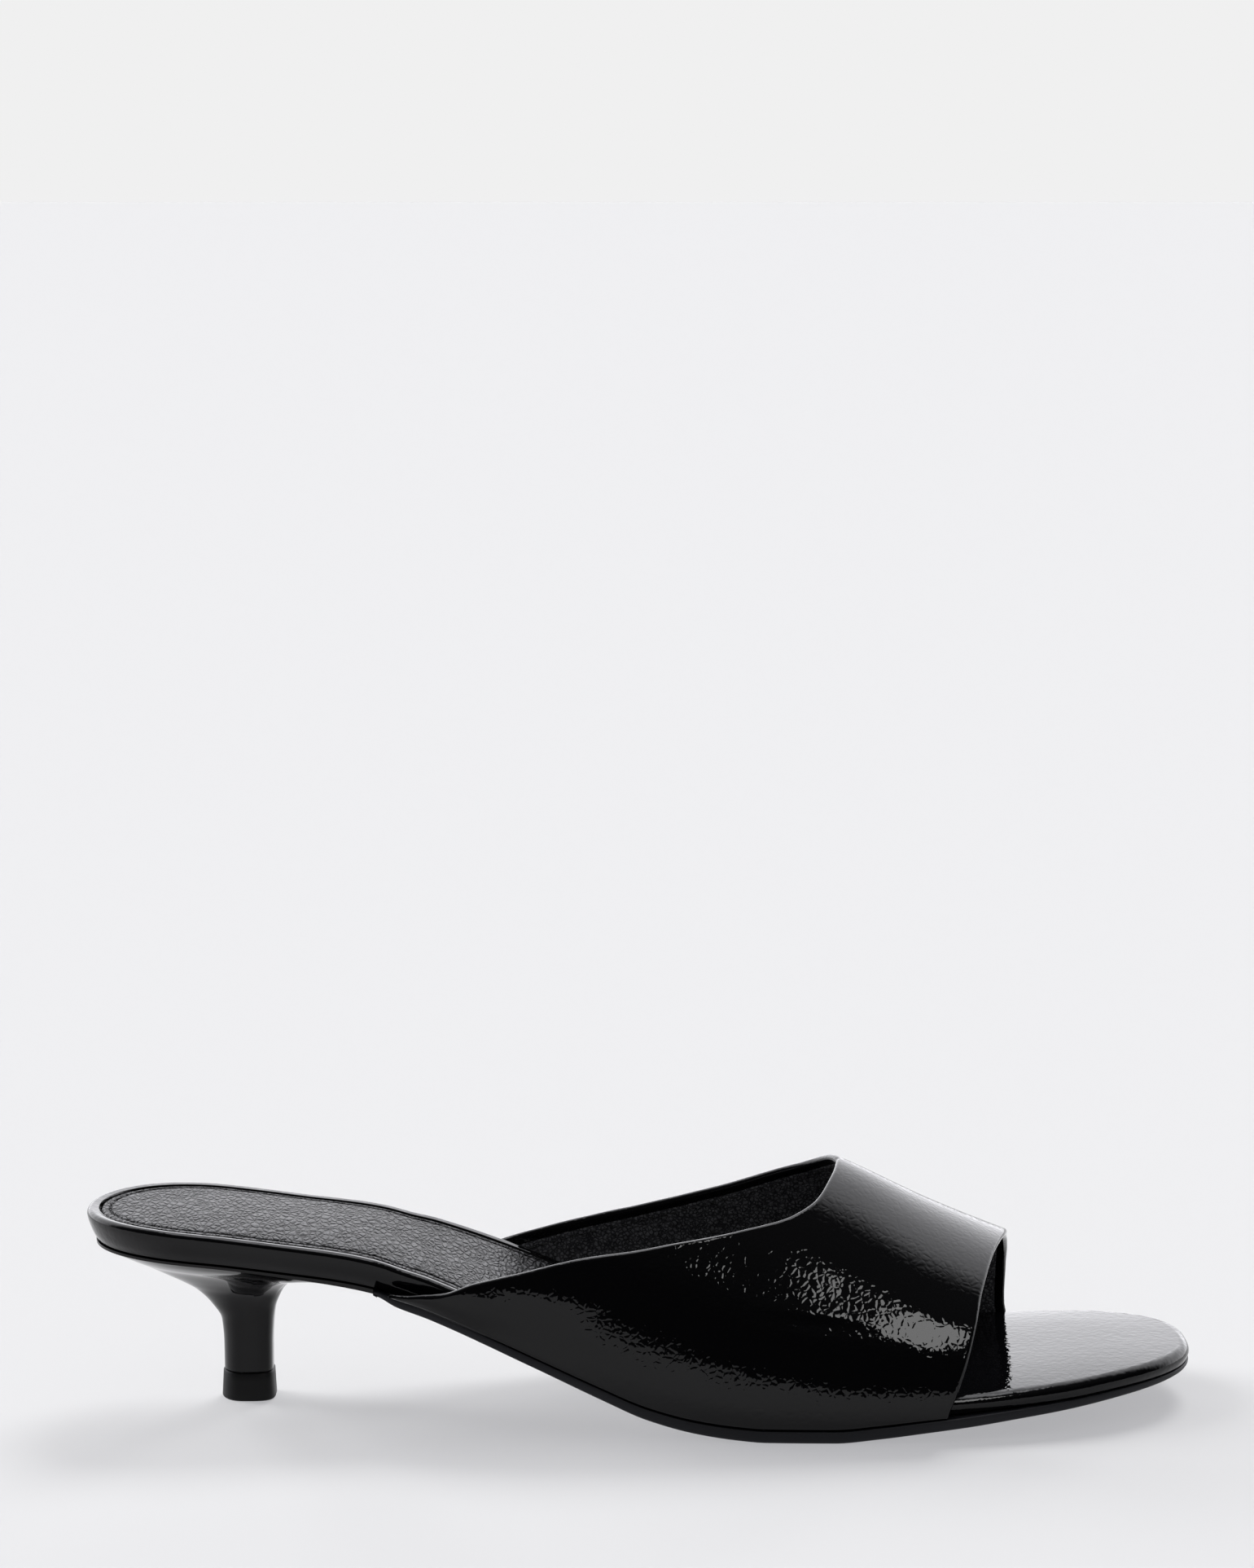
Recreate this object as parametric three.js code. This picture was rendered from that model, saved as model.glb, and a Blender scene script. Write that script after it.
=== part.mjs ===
// A woman's open-toe kitten-heel mule for the right foot, in millimetres.
// While it is made, x runs from the back of the heel to the toe, y towards the inner side of the foot, and z up from
// the floor. The group that is exported has its origin in the middle of the shoe's box, on the floor.
// The pieces are the ones a maker puts together: a covered footbed, a sock lining, an upper, an outsole, a heel and
// its top piece. Every piece takes its place from the same plan outline and the same bottom line of the last.
import * as THREE from "three";

// Sizes of the last and of the stance.
const footbedLength = 249; // from the back of the heel to the tip of the toe
const ballHalfWidth = 36.5; // the footbed at the ball, from its axis to its edge
const seatHalfWidth = 26; // the footbed at the heel seat
const seatRise = 36.9; // how far the heel seat lies above the tread
const toeSpring = 7.6; // how far the toe lies above the tread
const archRise = 2.35; // how much higher the waist lies on its inner edge than on its outer
const archPower = 1.5; // how late across the sole the arch begins
const instepHeight = 48.7; // the top of the throat above the tread

// Thicknesses and the gap that pieces keep to each other.
const boardThickness = 6.65; // insole board, padding and cover
const boardRounding = 2.2; // radius of the footbed's upper edge
const boardTaper = 2; // how far the footbed's side leans in at its foot
const halfLean = 0.4; // share of the side's height at which half of that is gone
const seatDish = 0.8; // hollow of the footbed under the heel
const outsoleThickness = 2.85;
const outsoleRounding = 0.9;
const upperWall = 1.8; // patent outside, padding and lining
const sockThickness = 1;
const sockBevel = 0.5; // the sock's edge is bevelled by this, over its upper half
const sockRecess = 1.8; // how deep the sock lies in the footbed
const sockInset = 3.2; // the band of footbed that shows round the sock
const flareFade = 0.22; // share of the upper's length over which its collar's flare fades
const sockEnd = 168; // where the sock stops, under the upper
const recessRunOut = 8; // how far past the sock its recess runs out
const seamGap = 0.3; // between two pieces that touch
const closedWidth = 1e-4; // under this the two sides of an outline are one point
const normalStep = 1e-3; // how far apart, in shares, the neighbours lie that give a surface its direction

// Sizes of the heel.
const breastAt = 65.5; // where the heel's seat ends and the outsole begins
const columnAt = 35.8; // middle of the heel's column
const columnLength = 11.1;
const columnWidth = 10.4;
const columnShift = 1.5; // the column's axis lies this far to the inner side
const topPieceHeight = 6.5;
const topPieceProud = 0.25; // how far it stands out round the column
const topPieceFlare = 0.3; // how much further out its foot is
const topPieceEdge = 0.6; // the broken edge round its foot
const frontAngle = 0.75; // half the turn that the column's flat front takes up
const backPower = 2; // the column's plan is an ellipse at the back
const frontPower = 3.6; // and squarer, with a power of this, at the front
const heelRim = 0.6; // height of the heel's edge under the footbed, at the back

// How finely the pieces are divided.
const sideSteps = 34; // stations along one side of a plan outline
const acrossSteps = 6; // strips across a sole
const columnSteps = 36; // sides of the top piece
const flareSteps = 16; // rings up the heel, closer together towards its rim
const archSteps = 44; // strips round the upper, from edge to edge
const alongSteps = 20; // strips along the upper, from throat to toe

// The bottom line of the last from the side: shares of the seat's rise, of the toe spring and of the arch, along the
// length, and the thickness of the outsole and of the footbed as shares of theirs.
const bottomLine = [
  { at: 0.0, seat: 1.0, toe: 0, arch: 0, sole: 0.45, board: 1.11 },
  { at: 0.04, seat: 0.992, toe: 0, arch: 0, sole: 0.45, board: 1.07 },
  { at: 0.096, seat: 0.972, toe: 0, arch: 0, sole: 0.45, board: 1.02 },
  { at: 0.185, seat: 0.902, toe: 0, arch: 0.05, sole: 0.45, board: 1 },
  { at: 0.265, seat: 0.806, toe: 0, arch: 0.42, sole: 0.45, board: 1 },
  { at: 0.2835, seat: 0.738, toe: 0, arch: 0.55, sole: 0.78, board: 1 },
  { at: 0.313, seat: 0.668, toe: 0, arch: 0.75, sole: 0.86, board: 1 },
  { at: 0.361, seat: 0.54, toe: 0, arch: 0.95, sole: 0.86, board: 1 },
  { at: 0.402, seat: 0.422, toe: 0, arch: 1, sole: 0.87, board: 1 },
  { at: 0.468, seat: 0.228, toe: 0, arch: 0.8, sole: 0.95, board: 0.96 },
  { at: 0.506, seat: 0.122, toe: 0, arch: 0.6, sole: 1.0, board: 0.92 },
  { at: 0.549, seat: 0.046, toe: 0, arch: 0.35, sole: 1.03, board: 0.87 },
  { at: 0.585, seat: 0.0115, toe: 0, arch: 0.1, sole: 1.05, board: 0.82 },
  { at: 0.61, seat: 0, toe: 0, arch: 0, sole: 1.06, board: 0.795 },
  { at: 0.67, seat: 0, toe: 0, arch: 0, sole: 1.06, board: 0.75 },
  { at: 0.71, seat: 0, toe: 0.122, arch: 0, sole: 1.05, board: 0.72 },
  { at: 0.75, seat: 0, toe: 0.27, arch: 0, sole: 1.03, board: 0.69 },
  { at: 0.814, seat: 0, toe: 0.47, arch: 0, sole: 0.94, board: 0.66 },
  { at: 0.87, seat: 0, toe: 0.63, arch: 0, sole: 0.84, board: 0.64 },
  { at: 0.93, seat: 0, toe: 0.82, arch: 0, sole: 0.74, board: 0.63 },
  { at: 1.0, seat: 0, toe: 1.0, arch: 0, sole: 0.55, board: 0.62 },
];

// The footbed from above, as half widths to each side of its axis: shares of the seat's and of the ball's half width.
const planLine = [
  { at: 0.0, seatOuter: 1.0, seatInner: 1.0, ballOuter: 0, ballInner: 0 },
  { at: 0.14, seatOuter: 1.0, seatInner: 1.0, ballOuter: 0, ballInner: 0 },
  { at: 0.27, seatOuter: 0.78, seatInner: 0.82, ballOuter: 0.13, ballInner: 0.12 },
  { at: 0.4, seatOuter: 0.4, seatInner: 0.45, ballOuter: 0.52, ballInner: 0.46 },
  { at: 0.5, seatOuter: 0.15, seatInner: 0.18, ballOuter: 0.81, ballInner: 0.74 },
  { at: 0.6, seatOuter: 0, seatInner: 0, ballOuter: 0.97, ballInner: 0.93 },
  { at: 0.7, seatOuter: 0, seatInner: 0, ballOuter: 1.0, ballInner: 0.99 },
  { at: 0.78, seatOuter: 0, seatInner: 0, ballOuter: 1.02, ballInner: 1.0 },
  { at: 0.84, seatOuter: 0, seatInner: 0, ballOuter: 1.03, ballInner: 1.02 },
  { at: 0.88, seatOuter: 0, seatInner: 0, ballOuter: 1.03, ballInner: 1.02 },
  { at: 0.94, seatOuter: 0, seatInner: 0, ballOuter: 1.02, ballInner: 1.01 },
  { at: 1.0, seatOuter: 0, seatInner: 0, ballOuter: 1.0, ballInner: 1.0 },
];

// Along the same length: how far the axis bends to the inner side, as a share of the ball's half width, how much of
// its lean the footbed's side has, and how far the outsole's edge stands outside the footbed's, in shares of the
// upper's wall and gap. It stands furthest out where it carries the upper, and draws in under the toe.
const edgeLine = [
  { at: 0.0, axis: 0, lean: 1, weltOuter: 0.1, weltInner: 0.1 },
  { at: 0.14, axis: 0, lean: 1, weltOuter: 0.1, weltInner: 0.1 },
  { at: 0.27, axis: 0, lean: 1, weltOuter: 0.1, weltInner: 0.1 },
  { at: 0.4, axis: 0, lean: 0.5, weltOuter: 0.85, weltInner: 0.85 },
  { at: 0.5, axis: 0, lean: 0.35, weltOuter: 0.95, weltInner: 0.95 },
  { at: 0.6, axis: 0, lean: 0.3, weltOuter: 0.95, weltInner: 0.95 },
  { at: 0.7, axis: 0.01, lean: 0.3, weltOuter: 0.95, weltInner: 0.95 },
  { at: 0.78, axis: 0.03, lean: 0.3, weltOuter: 0.7, weltInner: 0.95 },
  { at: 0.84, axis: 0.06, lean: 0.3, weltOuter: 0.15, weltInner: 0.9 },
  { at: 0.88, axis: 0.08, lean: 0.3, weltOuter: 0, weltInner: 0.25 },
  { at: 0.94, axis: 0.11, lean: 0.3, weltOuter: -0.3, weltInner: -0.2 },
  { at: 1.0, axis: 0.14, lean: 0.3, weltOuter: -0.6, weltInner: -0.6 },
];

// The round ends of that plan: their length as a share of the footbed's, and how full each side's curve is.
const heelEnd = { share: 0.115, outer: 2.1, inner: 2.1 };
const toeEnd = { share: 0.345, outer: 2.4, inner: 2.75 };

// The last above the footbed, as sections across it: the ridge's height over the tread as a share of the instep's,
// its offset to the inner side as a share of the ball's half width, and how each side's curve leaves the edge and
// reaches the ridge, in shares of the section's height and half width.
const lastLine = [
  { at: 0.26, ridge: 1.5, offset: 0.05, bulgeOuter: 0.05, bulgeInner: 0.05, wall: 0.6, crown: 0.55 },
  { at: 0.4, ridge: 1.42, offset: 0.05, bulgeOuter: 0.06, bulgeInner: 0.06, wall: 0.62, crown: 0.5 },
  { at: 0.5, ridge: 1.33, offset: 0.06, bulgeOuter: 0.06, bulgeInner: 0.05, wall: 0.55, crown: 0.5 },
  { at: 0.6, ridge: 1.18, offset: 0.08, bulgeOuter: 0.05, bulgeInner: 0.04, wall: 0.5, crown: 0.5 },
  { at: 0.68, ridge: 1.02, offset: 0.1, bulgeOuter: 0.05, bulgeInner: 0.04, wall: 0.48, crown: 0.5 },
  { at: 0.76, ridge: 0.82, offset: 0.12, bulgeOuter: 0.04, bulgeInner: 0.04, wall: 0.5, crown: 0.55 },
  { at: 0.84, ridge: 0.645, offset: 0.14, bulgeOuter: 0.03, bulgeInner: 0.03, wall: 0.55, crown: 0.6 },
  { at: 0.9, ridge: 0.53, offset: 0.16, bulgeOuter: 0.03, bulgeInner: 0.03, wall: 0.6, crown: 0.62 },
];

// Where the upper begins and ends, in shares of the length: up is the share of the way from the sole to the ridge,
// throat the collar's edge, toe the edge of the toe opening, on the outer and on the inner side. flare is how far the
// collar's edge stands off the footbed beside it, in shares of the wall.
const upperCut = [
  { up: 0.0, throatOuter: 0.27, throatInner: 0.325, toeOuter: 0.769, toeInner: 0.846, flare: 0 },
  { up: 0.03, throatOuter: 0.297, throatInner: 0.35, toeOuter: 0.771, toeInner: 0.8455, flare: 0.7 },
  { up: 0.07, throatOuter: 0.328, throatInner: 0.374, toeOuter: 0.775, toeInner: 0.845, flare: 0.9 },
  { up: 0.12, throatOuter: 0.354, throatInner: 0.402, toeOuter: 0.779, toeInner: 0.8435, flare: 0.6 },
  { up: 0.2, throatOuter: 0.401, throatInner: 0.443, toeOuter: 0.785, toeInner: 0.843, flare: 0.2 },
  { up: 0.3, throatOuter: 0.456, throatInner: 0.492, toeOuter: 0.791, toeInner: 0.843, flare: 0 },
  { up: 0.4, throatOuter: 0.518, throatInner: 0.542, toeOuter: 0.796, toeInner: 0.8425, flare: 0 },
  { up: 0.5, throatOuter: 0.582, throatInner: 0.587, toeOuter: 0.8, toeInner: 0.842, flare: 0 },
  { up: 0.6, throatOuter: 0.632, throatInner: 0.6225, toeOuter: 0.8055, toeInner: 0.8405, flare: 0 },
  { up: 0.7, throatOuter: 0.656, throatInner: 0.6485, toeOuter: 0.811, toeInner: 0.838, flare: 0 },
  { up: 0.8, throatOuter: 0.6665, throatInner: 0.663, toeOuter: 0.817, toeInner: 0.836, flare: 0 },
  { up: 0.9, throatOuter: 0.673, throatInner: 0.671, toeOuter: 0.8235, toeInner: 0.834, flare: 0 },
  { up: 1.0, throatOuter: 0.676, throatInner: 0.676, toeOuter: 0.83, toeInner: 0.83, flare: 0 },
];

// The heel's flare: for a height as a share of the way up from the top piece, how far the surface has come from the
// column to the rim, at the back, at the sides and at the front.
const flareLine = [
  { up: 0.0, back: 0.0, side: 0.0, front: 0.0 },
  { up: 0.2, back: 0.002, side: 0.0, front: 0.0 },
  { up: 0.39, back: 0.018, side: 0.012, front: 0.01 },
  { up: 0.52, back: 0.1, side: 0.06, front: 0.03 },
  { up: 0.64, back: 0.23, side: 0.14, front: 0.08 },
  { up: 0.71, back: 0.36, side: 0.23, front: 0.12 },
  { up: 0.77, back: 0.49, side: 0.34, front: 0.17 },
  { up: 0.85, back: 0.66, side: 0.54, front: 0.24 },
  { up: 0.91, back: 0.79, side: 0.77, front: 0.34 },
  { up: 0.96, back: 0.9, side: 0.92, front: 0.58 },
  { up: 1.0, back: 1.0, side: 1.0, front: 1.0 },
];

// A smooth curve through one column of a table, which never swings past its rows.
function column(table, key, name) {
  const x = table.map((row) => row[key]);
  const y = table.map((row) => row[name]);
  const slope = x.slice(1).map((v, i) => (y[i + 1] - y[i]) / (v - x[i]));
  const tangent = x.map((_, i) => {
    if (i === 0) return slope[0];
    if (i === x.length - 1) return slope[i - 1];
    if (slope[i - 1] * slope[i] <= 0) return 0;
    return (2 * slope[i - 1] * slope[i]) / (slope[i - 1] + slope[i]);
  });
  return (v) => {
    const c = THREE.MathUtils.clamp(v, x[0], x[x.length - 1]);
    let i = 0;
    while (i < x.length - 2 && c > x[i + 1]) i += 1;
    const h = x[i + 1] - x[i];
    const t = (c - x[i]) / h;
    const a = y[i] + (y[i + 1] - y[i]) * t * t * (3 - 2 * t);
    return a + h * t * (1 - t) * (tangent[i] * (1 - t) - tangent[i + 1] * t);
  };
}

const columns = (table, key) =>
  Object.fromEntries(Object.keys(table[0]).filter((n) => n !== key).map((n) => [n, column(table, key, n)]));
const bottom = columns(bottomLine, "at");
const plan = columns(planLine, "at");
const edges = columns(edgeLine, "at");
const last = columns(lastLine, "at");
const cut = columns(upperCut, "up");
const flare = columns(flareLine, "up");

// Height of the outsole's underside, which lies on the floor under the ball and is arched at the waist's inner side.
function soleLine(x, y) {
  const at = x / footbedLength;
  const inwards = THREE.MathUtils.clamp(y / Math.max(closedWidth, halfWidth(x, 1)), 0, 1);
  const arch = archRise * bottom.arch(at) * Math.pow(inwards, archPower);
  return seatRise * bottom.seat(at) + toeSpring * bottom.toe(at) + arch;
}

// Height of the footbed's underside, which is also the feather line of the last.
const underside = (x, y) => soleLine(x, y) + outsoleThickness * bottom.sole(x / footbedLength);

// How far the footbed's axis has bent to the inner side at x.
const axis = (x) => ballHalfWidth * edges.axis(THREE.MathUtils.clamp(x / footbedLength, 0, 1));

// The footbed's half width at x, on the outer side where side is -1 and on the inner side where it is 1.
function halfWidth(x, side) {
  const at = THREE.MathUtils.clamp(x / footbedLength, 0, 1);
  const outer = seatHalfWidth * plan.seatOuter(at) + ballHalfWidth * plan.ballOuter(at);
  const inner = seatHalfWidth * plan.seatInner(at) + ballHalfWidth * plan.ballInner(at);
  const round = (end, fromEnd) => {
    const power = side < 0 ? end.outer : end.inner;
    return Math.pow(1 - Math.pow(Math.max(0, 1 - fromEnd / end.share), power), 1 / power);
  };
  return (side < 0 ? outer : inner) * round(heelEnd, at) * round(toeEnd, 1 - at);
}

// How far the footbed's side leans in at its foot.
const lean = (x) => -boardTaper * edges.lean(x / footbedLength);

// How far the outsole's edge stands outside the footbed's.
function welt(x, side) {
  const at = x / footbedLength;
  return (side < 0 ? edges.weltOuter(at) : edges.weltInner(at)) * (seamGap + upperWall);
}

// A plan outline of the footbed's shape from one x to another, as rows of points across it, one row for each station.
// A row is a single point where the outline closes at a round end.
function plate(from, to, margin = () => 0) {
  return Array.from({ length: sideSteps + 1 }, (_, i) => {
    const x = from + ((to - from) * (1 - Math.cos((Math.PI * i) / sideSteps))) / 2;
    const [outer, inner] = [-1, 1].map((side) => {
      const half = halfWidth(x, side);
      return new THREE.Vector2(x, axis(x) + (half > closedWidth ? side * (half + margin(x, side)) : 0));
    });
    if (outer.y === inner.y) return [outer];
    return Array.from({ length: acrossSteps + 1 }, (_, k) => outer.clone().lerp(inner, k / acrossSteps));
  });
}

// The places of a plate's edge in its rows, anticlockwise from above, as [row, place].
function edgeOf(rows) {
  const tip = rows.length - 1;
  const lastOf = (i) => rows[i].length - 1;
  const out = rows.map((_, i) => [i, 0]);
  const front = rows[tip].slice(1, -1).map((_, k) => [tip, k + 1]);
  const home = rows.map((_, i) => [tip - i, lastOf(tip - i)]).filter(([i]) => lastOf(i) > 0);
  const back = rows[0].slice(1, -1).map((_, k) => [0, lastOf(0) - 1 - k]);
  return [...out, ...front, ...home, ...back];
}

// Moves each point of an anticlockwise loop outwards, square to the loop, by a distance that can change along x.
function offset(loop, distance) {
  return loop.map((p, i) => {
    const before = loop[(i + loop.length - 1) % loop.length];
    const after = loop[(i + 1) % loop.length];
    const n = new THREE.Vector2(after.y - before.y, before.x - after.x).normalize();
    return p.clone().addScaledVector(n, distance(p.x));
  });
}

// Collects points and triangles and makes them a closed geometry.
class Surface {
  constructor() {
    this.points = [];
    this.faces = [];
  }
  add(p) {
    return this.points.push(p) - 1;
  }
  row(list) {
    return list.map((p) => this.add(p));
  }
  triangle(a, b, c) {
    if (a !== b && b !== c && c !== a) this.faces.push(a, b, c);
  }
  quad(a, b, c, d) {
    this.triangle(a, b, c);
    this.triangle(a, c, d);
  }
  // A fan of triangles from a middle point to a ring, facing up where the ring runs anticlockwise.
  fan(middle, ring, up) {
    const m = this.add(middle);
    ring.forEach((v, i) => {
      const w = ring[(i + 1) % ring.length];
      if (up) this.triangle(m, v, w);
      else this.triangle(m, w, v);
    });
  }
  // A band between two rows of the same length, closed into a ring or left open.
  band(low, high, closed) {
    const n = low.length;
    for (let i = 0; i < (closed ? n : n - 1); i += 1) {
      const j = (i + 1) % n;
      this.quad(low[i], low[j], high[j], high[i]);
    }
  }
  geometry() {
    const made = new THREE.BufferGeometry();
    made.setAttribute("position", new THREE.Float32BufferAttribute(this.points.flatMap((p) => p.toArray()), 3));
    made.setIndex(this.faces);
    made.computeVertexNormals();
    return made;
  }
}

// Covers a plate whose edge is already in the surface: ring holds the edge's vertices and loop their plan points.
function cover(surface, rows, edge, ring, loop, height, up) {
  const at = new Map(edge.map(([i, k], n) => [`${i},${k}`, n]));
  const cells = rows.map((row, i) => {
    const last = row.length - 1;
    const a = at.get(`${i},0`);
    const b = at.get(`${i},${last}`);
    return Array.from({ length: acrossSteps + 1 }, (_, k) => {
      if (last === 0) return ring[a];
      const n = at.get(`${i},${k}`);
      if (n !== undefined) return ring[n];
      const p = loop[a].clone().lerp(loop[b], k / acrossSteps);
      return surface.add(new THREE.Vector3(p.x, p.y, height(p.x, p.y)));
    });
  });
  cells.slice(1).forEach((next, i) => {
    if (up) surface.band(next, cells[i], false);
    else surface.band(cells[i], next, false);
  });
}

// A flat piece of a sole: rings, from its underside up, each the plate's edge moved out and at a height of its own.
function slab(rows, rings) {
  const surface = new Surface();
  const edge = edgeOf(rows);
  const base = edge.map(([i, k]) => rows[i][k]);
  const made = rings.map(({ out, height }) => {
    const loop = offset(base, typeof out === "function" ? out : () => out);
    return { loop, height, ring: surface.row(loop.map((p) => new THREE.Vector3(p.x, p.y, height(p.x, p.y)))) };
  });
  const low = made[0];
  const high = made[made.length - 1];
  cover(surface, rows, edge, low.ring, low.loop, low.height, false);
  made.slice(1).forEach((m, i) => surface.band(made[i].ring, m.ring, true));
  cover(surface, rows, edge, high.ring, high.loop, high.height, true);
  return surface.geometry();
}

// Height of the footbed's upper face, a little hollow under the heel.
function footbedTop(x, y) {
  const hollow = seatDish * Math.max(0, 1 - x / breastAt);
  const across = Math.min(1, Math.abs(y) / seatHalfWidth);
  return underside(x, y) + boardThickness * bottom.board(x / footbedLength) - hollow * (1 - across * across);
}

// Height of the recess in it that takes the sock. It runs out past the sock's end.
function recessTop(x, y) {
  const past = (x - sockEnd - seamGap) / recessRunOut;
  return footbedTop(x, y) - sockRecess * (1 - THREE.MathUtils.smoothstep(past, 0, 1));
}

function footbed() {
  const wall = (share) => (x, y) => THREE.MathUtils.lerp(underside(x, y), footbedTop(x, y) - boardRounding, share);
  const rounded = (angle) => ({
    out: boardRounding * (Math.cos(angle) - 1),
    height: (x, y) => footbedTop(x, y) - boardRounding * (1 - Math.sin(angle)),
  });
  return slab(plate(0, footbedLength), [
    { out: lean, height: wall(0) },
    { out: (x) => lean(x) / 2, height: wall(halfLean) },
    rounded(0),
    rounded(Math.PI / 6),
    rounded(Math.PI / 3),
    rounded(Math.PI / 2),
    { out: seamGap - sockInset, height: recessTop },
  ]);
}

function sock() {
  const foot = (x, y) => recessTop(x, y) + seamGap;
  const rise = (share) => (x, y) => foot(x, y) + sockThickness * share;
  return slab(plate(0, sockEnd), [
    { out: -sockInset, height: foot },
    { out: -sockInset, height: rise(1 / 2) },
    { out: -sockInset - sockBevel, height: rise(1) },
  ]);
}

function outsole() {
  const level = (share) => (x, y) => THREE.MathUtils.lerp(soleLine(x, y), underside(x, y) - seamGap, share);
  return slab(plate(breastAt + seamGap, footbedLength, welt), [
    { out: -outsoleRounding, height: level(0) },
    { out: 0, height: level(outsoleRounding / outsoleThickness) },
    { out: 0, height: level(1) },
  ]);
}

// A point on the last: x along it, side -1 or 1, up the share of the way from the sole's edge to the ridge.
function lastPoint(x, side, up) {
  const at = x / footbedLength;
  const edge = halfWidth(x, side) + side * axis(x) + seamGap;
  const foot = underside(x, side * edge);
  const top = outsoleThickness + instepHeight * last.ridge(at);
  const ridge = ballHalfWidth * last.offset(at);
  const height = top - foot;
  const bulge = side < 0 ? last.bulgeOuter(at) : last.bulgeInner(at);
  const reach = edge - side * ridge;
  const curve = new THREE.CubicBezierCurve(
    new THREE.Vector2(edge, foot),
    new THREE.Vector2(edge * (1 + bulge), foot + height * last.wall(at)),
    new THREE.Vector2(side * ridge + reach * last.crown(at), top),
    new THREE.Vector2(side * ridge, top),
  );
  const p = curve.getPoint(up);
  return new THREE.Vector3(x, side * p.x, p.y);
}

// A point on the upper's inner face. around runs from 0 at the outer edge over the ridge to 1 at the inner edge, and
// along from 0 at the throat to 1 at the toe opening.
function upperPoint(around, along) {
  const side = around < 0.5 ? -1 : 1;
  const up = 1 - Math.abs(2 * around - 1);
  const throat = side < 0 ? cut.throatOuter(up) : cut.throatInner(up);
  const toe = side < 0 ? cut.toeOuter(up) : cut.toeInner(up);
  const p = lastPoint(footbedLength * (throat + (toe - throat) * along), side, up);
  const stand = upperWall * cut.flare(up) * (1 - THREE.MathUtils.smoothstep(along, 0, flareFade));
  return p.setY(p.y + side * stand);
}

// Outward direction of the upper at a point, from its neighbours.
function upperNormal(around, along) {
  const lo = (v) => Math.max(0, v - normalStep);
  const hi = (v) => Math.min(1, v + normalStep);
  const a = upperPoint(hi(around), along).sub(upperPoint(lo(around), along));
  const b = upperPoint(around, hi(along)).sub(upperPoint(around, lo(along)));
  return b.cross(a).normalize();
}

function upper() {
  const surface = new Surface();
  const rows = Array.from({ length: archSteps + 1 }, (_, i) => {
    const around = i / archSteps;
    return Array.from({ length: alongSteps + 1 }, (_, j) => {
      const along = j / alongSteps;
      const p = upperPoint(around, along);
      const n = upperNormal(around, along);
      // The wall ends flat on the sole, so its outer face stays level with its inner face there.
      if (i === 0 || i === archSteps) n.setZ(0).normalize();
      return { inside: surface.add(p), outside: surface.add(p.clone().addScaledVector(n, upperWall)) };
    });
  });
  rows.slice(1).forEach((next, i) => {
    surface.band(rows[i].map((c) => c.outside), next.map((c) => c.outside), false);
    surface.band(next.map((c) => c.inside), rows[i].map((c) => c.inside), false);
  });
  const edge = (cells) => surface.band(cells.map((c) => c.inside), cells.map((c) => c.outside), false);
  edge(rows[0]);
  edge([...rows[archSteps]].reverse());
  edge(rows.map((r) => r[0]).reverse());
  edge(rows.map((r) => r[alongSteps]));
  return surface.geometry();
}

// The heel's column in plan, a rounded D with its flat side to the front. angle is 0 at the front, pi at the back.
function columnPoint(angle, margin) {
  const power = THREE.MathUtils.lerp(backPower, frontPower, (1 + Math.cos(angle)) / 2);
  const a = columnLength / 2 + margin;
  const b = columnWidth / 2 + margin;
  const c = Math.cos(angle);
  const s = Math.sin(angle);
  const r = Math.pow(Math.pow(Math.abs(c) / a, power) + Math.pow(Math.abs(s) / b, power), -1 / power);
  return new THREE.Vector2(columnAt + r * c, columnShift + r * s);
}

function heel() {
  const surface = new Surface();
  const rows = plate(0, breastAt);
  const edge = edgeOf(rows);
  const tip = rows.length - 1;
  // The rim follows the footbed's foot at the sides and the back. Its front edge stays at the breast.
  const inset = 1 + lean(breastAt) / halfWidth(breastAt, 1);
  const rim = offset(edge.map(([i, k]) => rows[i][k]), lean).map((p, n) => {
    const [i, k] = edge[n];
    return i === tip ? rows[i][k].clone().setY(rows[i][k].y * inset) : p;
  });
  const angles = edge.map(([i, k]) => {
    const side = k === 0 ? -1 : 1;
    if (i === tip) return frontAngle * ((2 * k) / acrossSteps - 1);
    const share = i / tip;
    return side * (Math.PI - (Math.PI - frontAngle) * share);
  });
  const foot = topPieceHeight + seamGap;
  const seat = (x, y) => underside(x, y) - seamGap;
  // Towards the front the edge grows as thin as the outsole that meets it there.
  const rimAt = (x) =>
    THREE.MathUtils.mapLinear(
      THREE.MathUtils.smoothstep(x, columnAt, breastAt), 0, 1, heelRim, seat(breastAt, 0) - soleLine(breastAt, 0));
  const ring = (up, rise) =>
    surface.row(
      rim.map((p, n) => {
        const c = Math.cos(angles[n]);
        const end = c < 0 ? flare.back(up) : flare.front(up);
        const toEnd = c < 0 ? c * c : Math.min(1, c / Math.cos(frontAngle));
        const q = columnPoint(angles[n], 0).lerp(p, THREE.MathUtils.lerp(flare.side(up), end, toEnd));
        return new THREE.Vector3(q.x, q.y, foot + (seat(q.x, q.y) - rimAt(q.x) * (1 - rise) - foot) * up);
      }),
    );
  const levels = Array.from({ length: flareSteps + 1 }, (_, i) => Math.sin((Math.PI / 2) * (i / flareSteps)));
  const rings = [...levels.map((up) => ring(up, 0)), ring(1, 1)];
  surface.fan(new THREE.Vector3(columnAt, columnShift, foot), rings[0], false);
  rings.slice(1).forEach((r, i) => surface.band(rings[i], r, true));
  cover(surface, rows, edge, rings[rings.length - 1], rim, seat, true);
  return surface.geometry();
}

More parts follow.
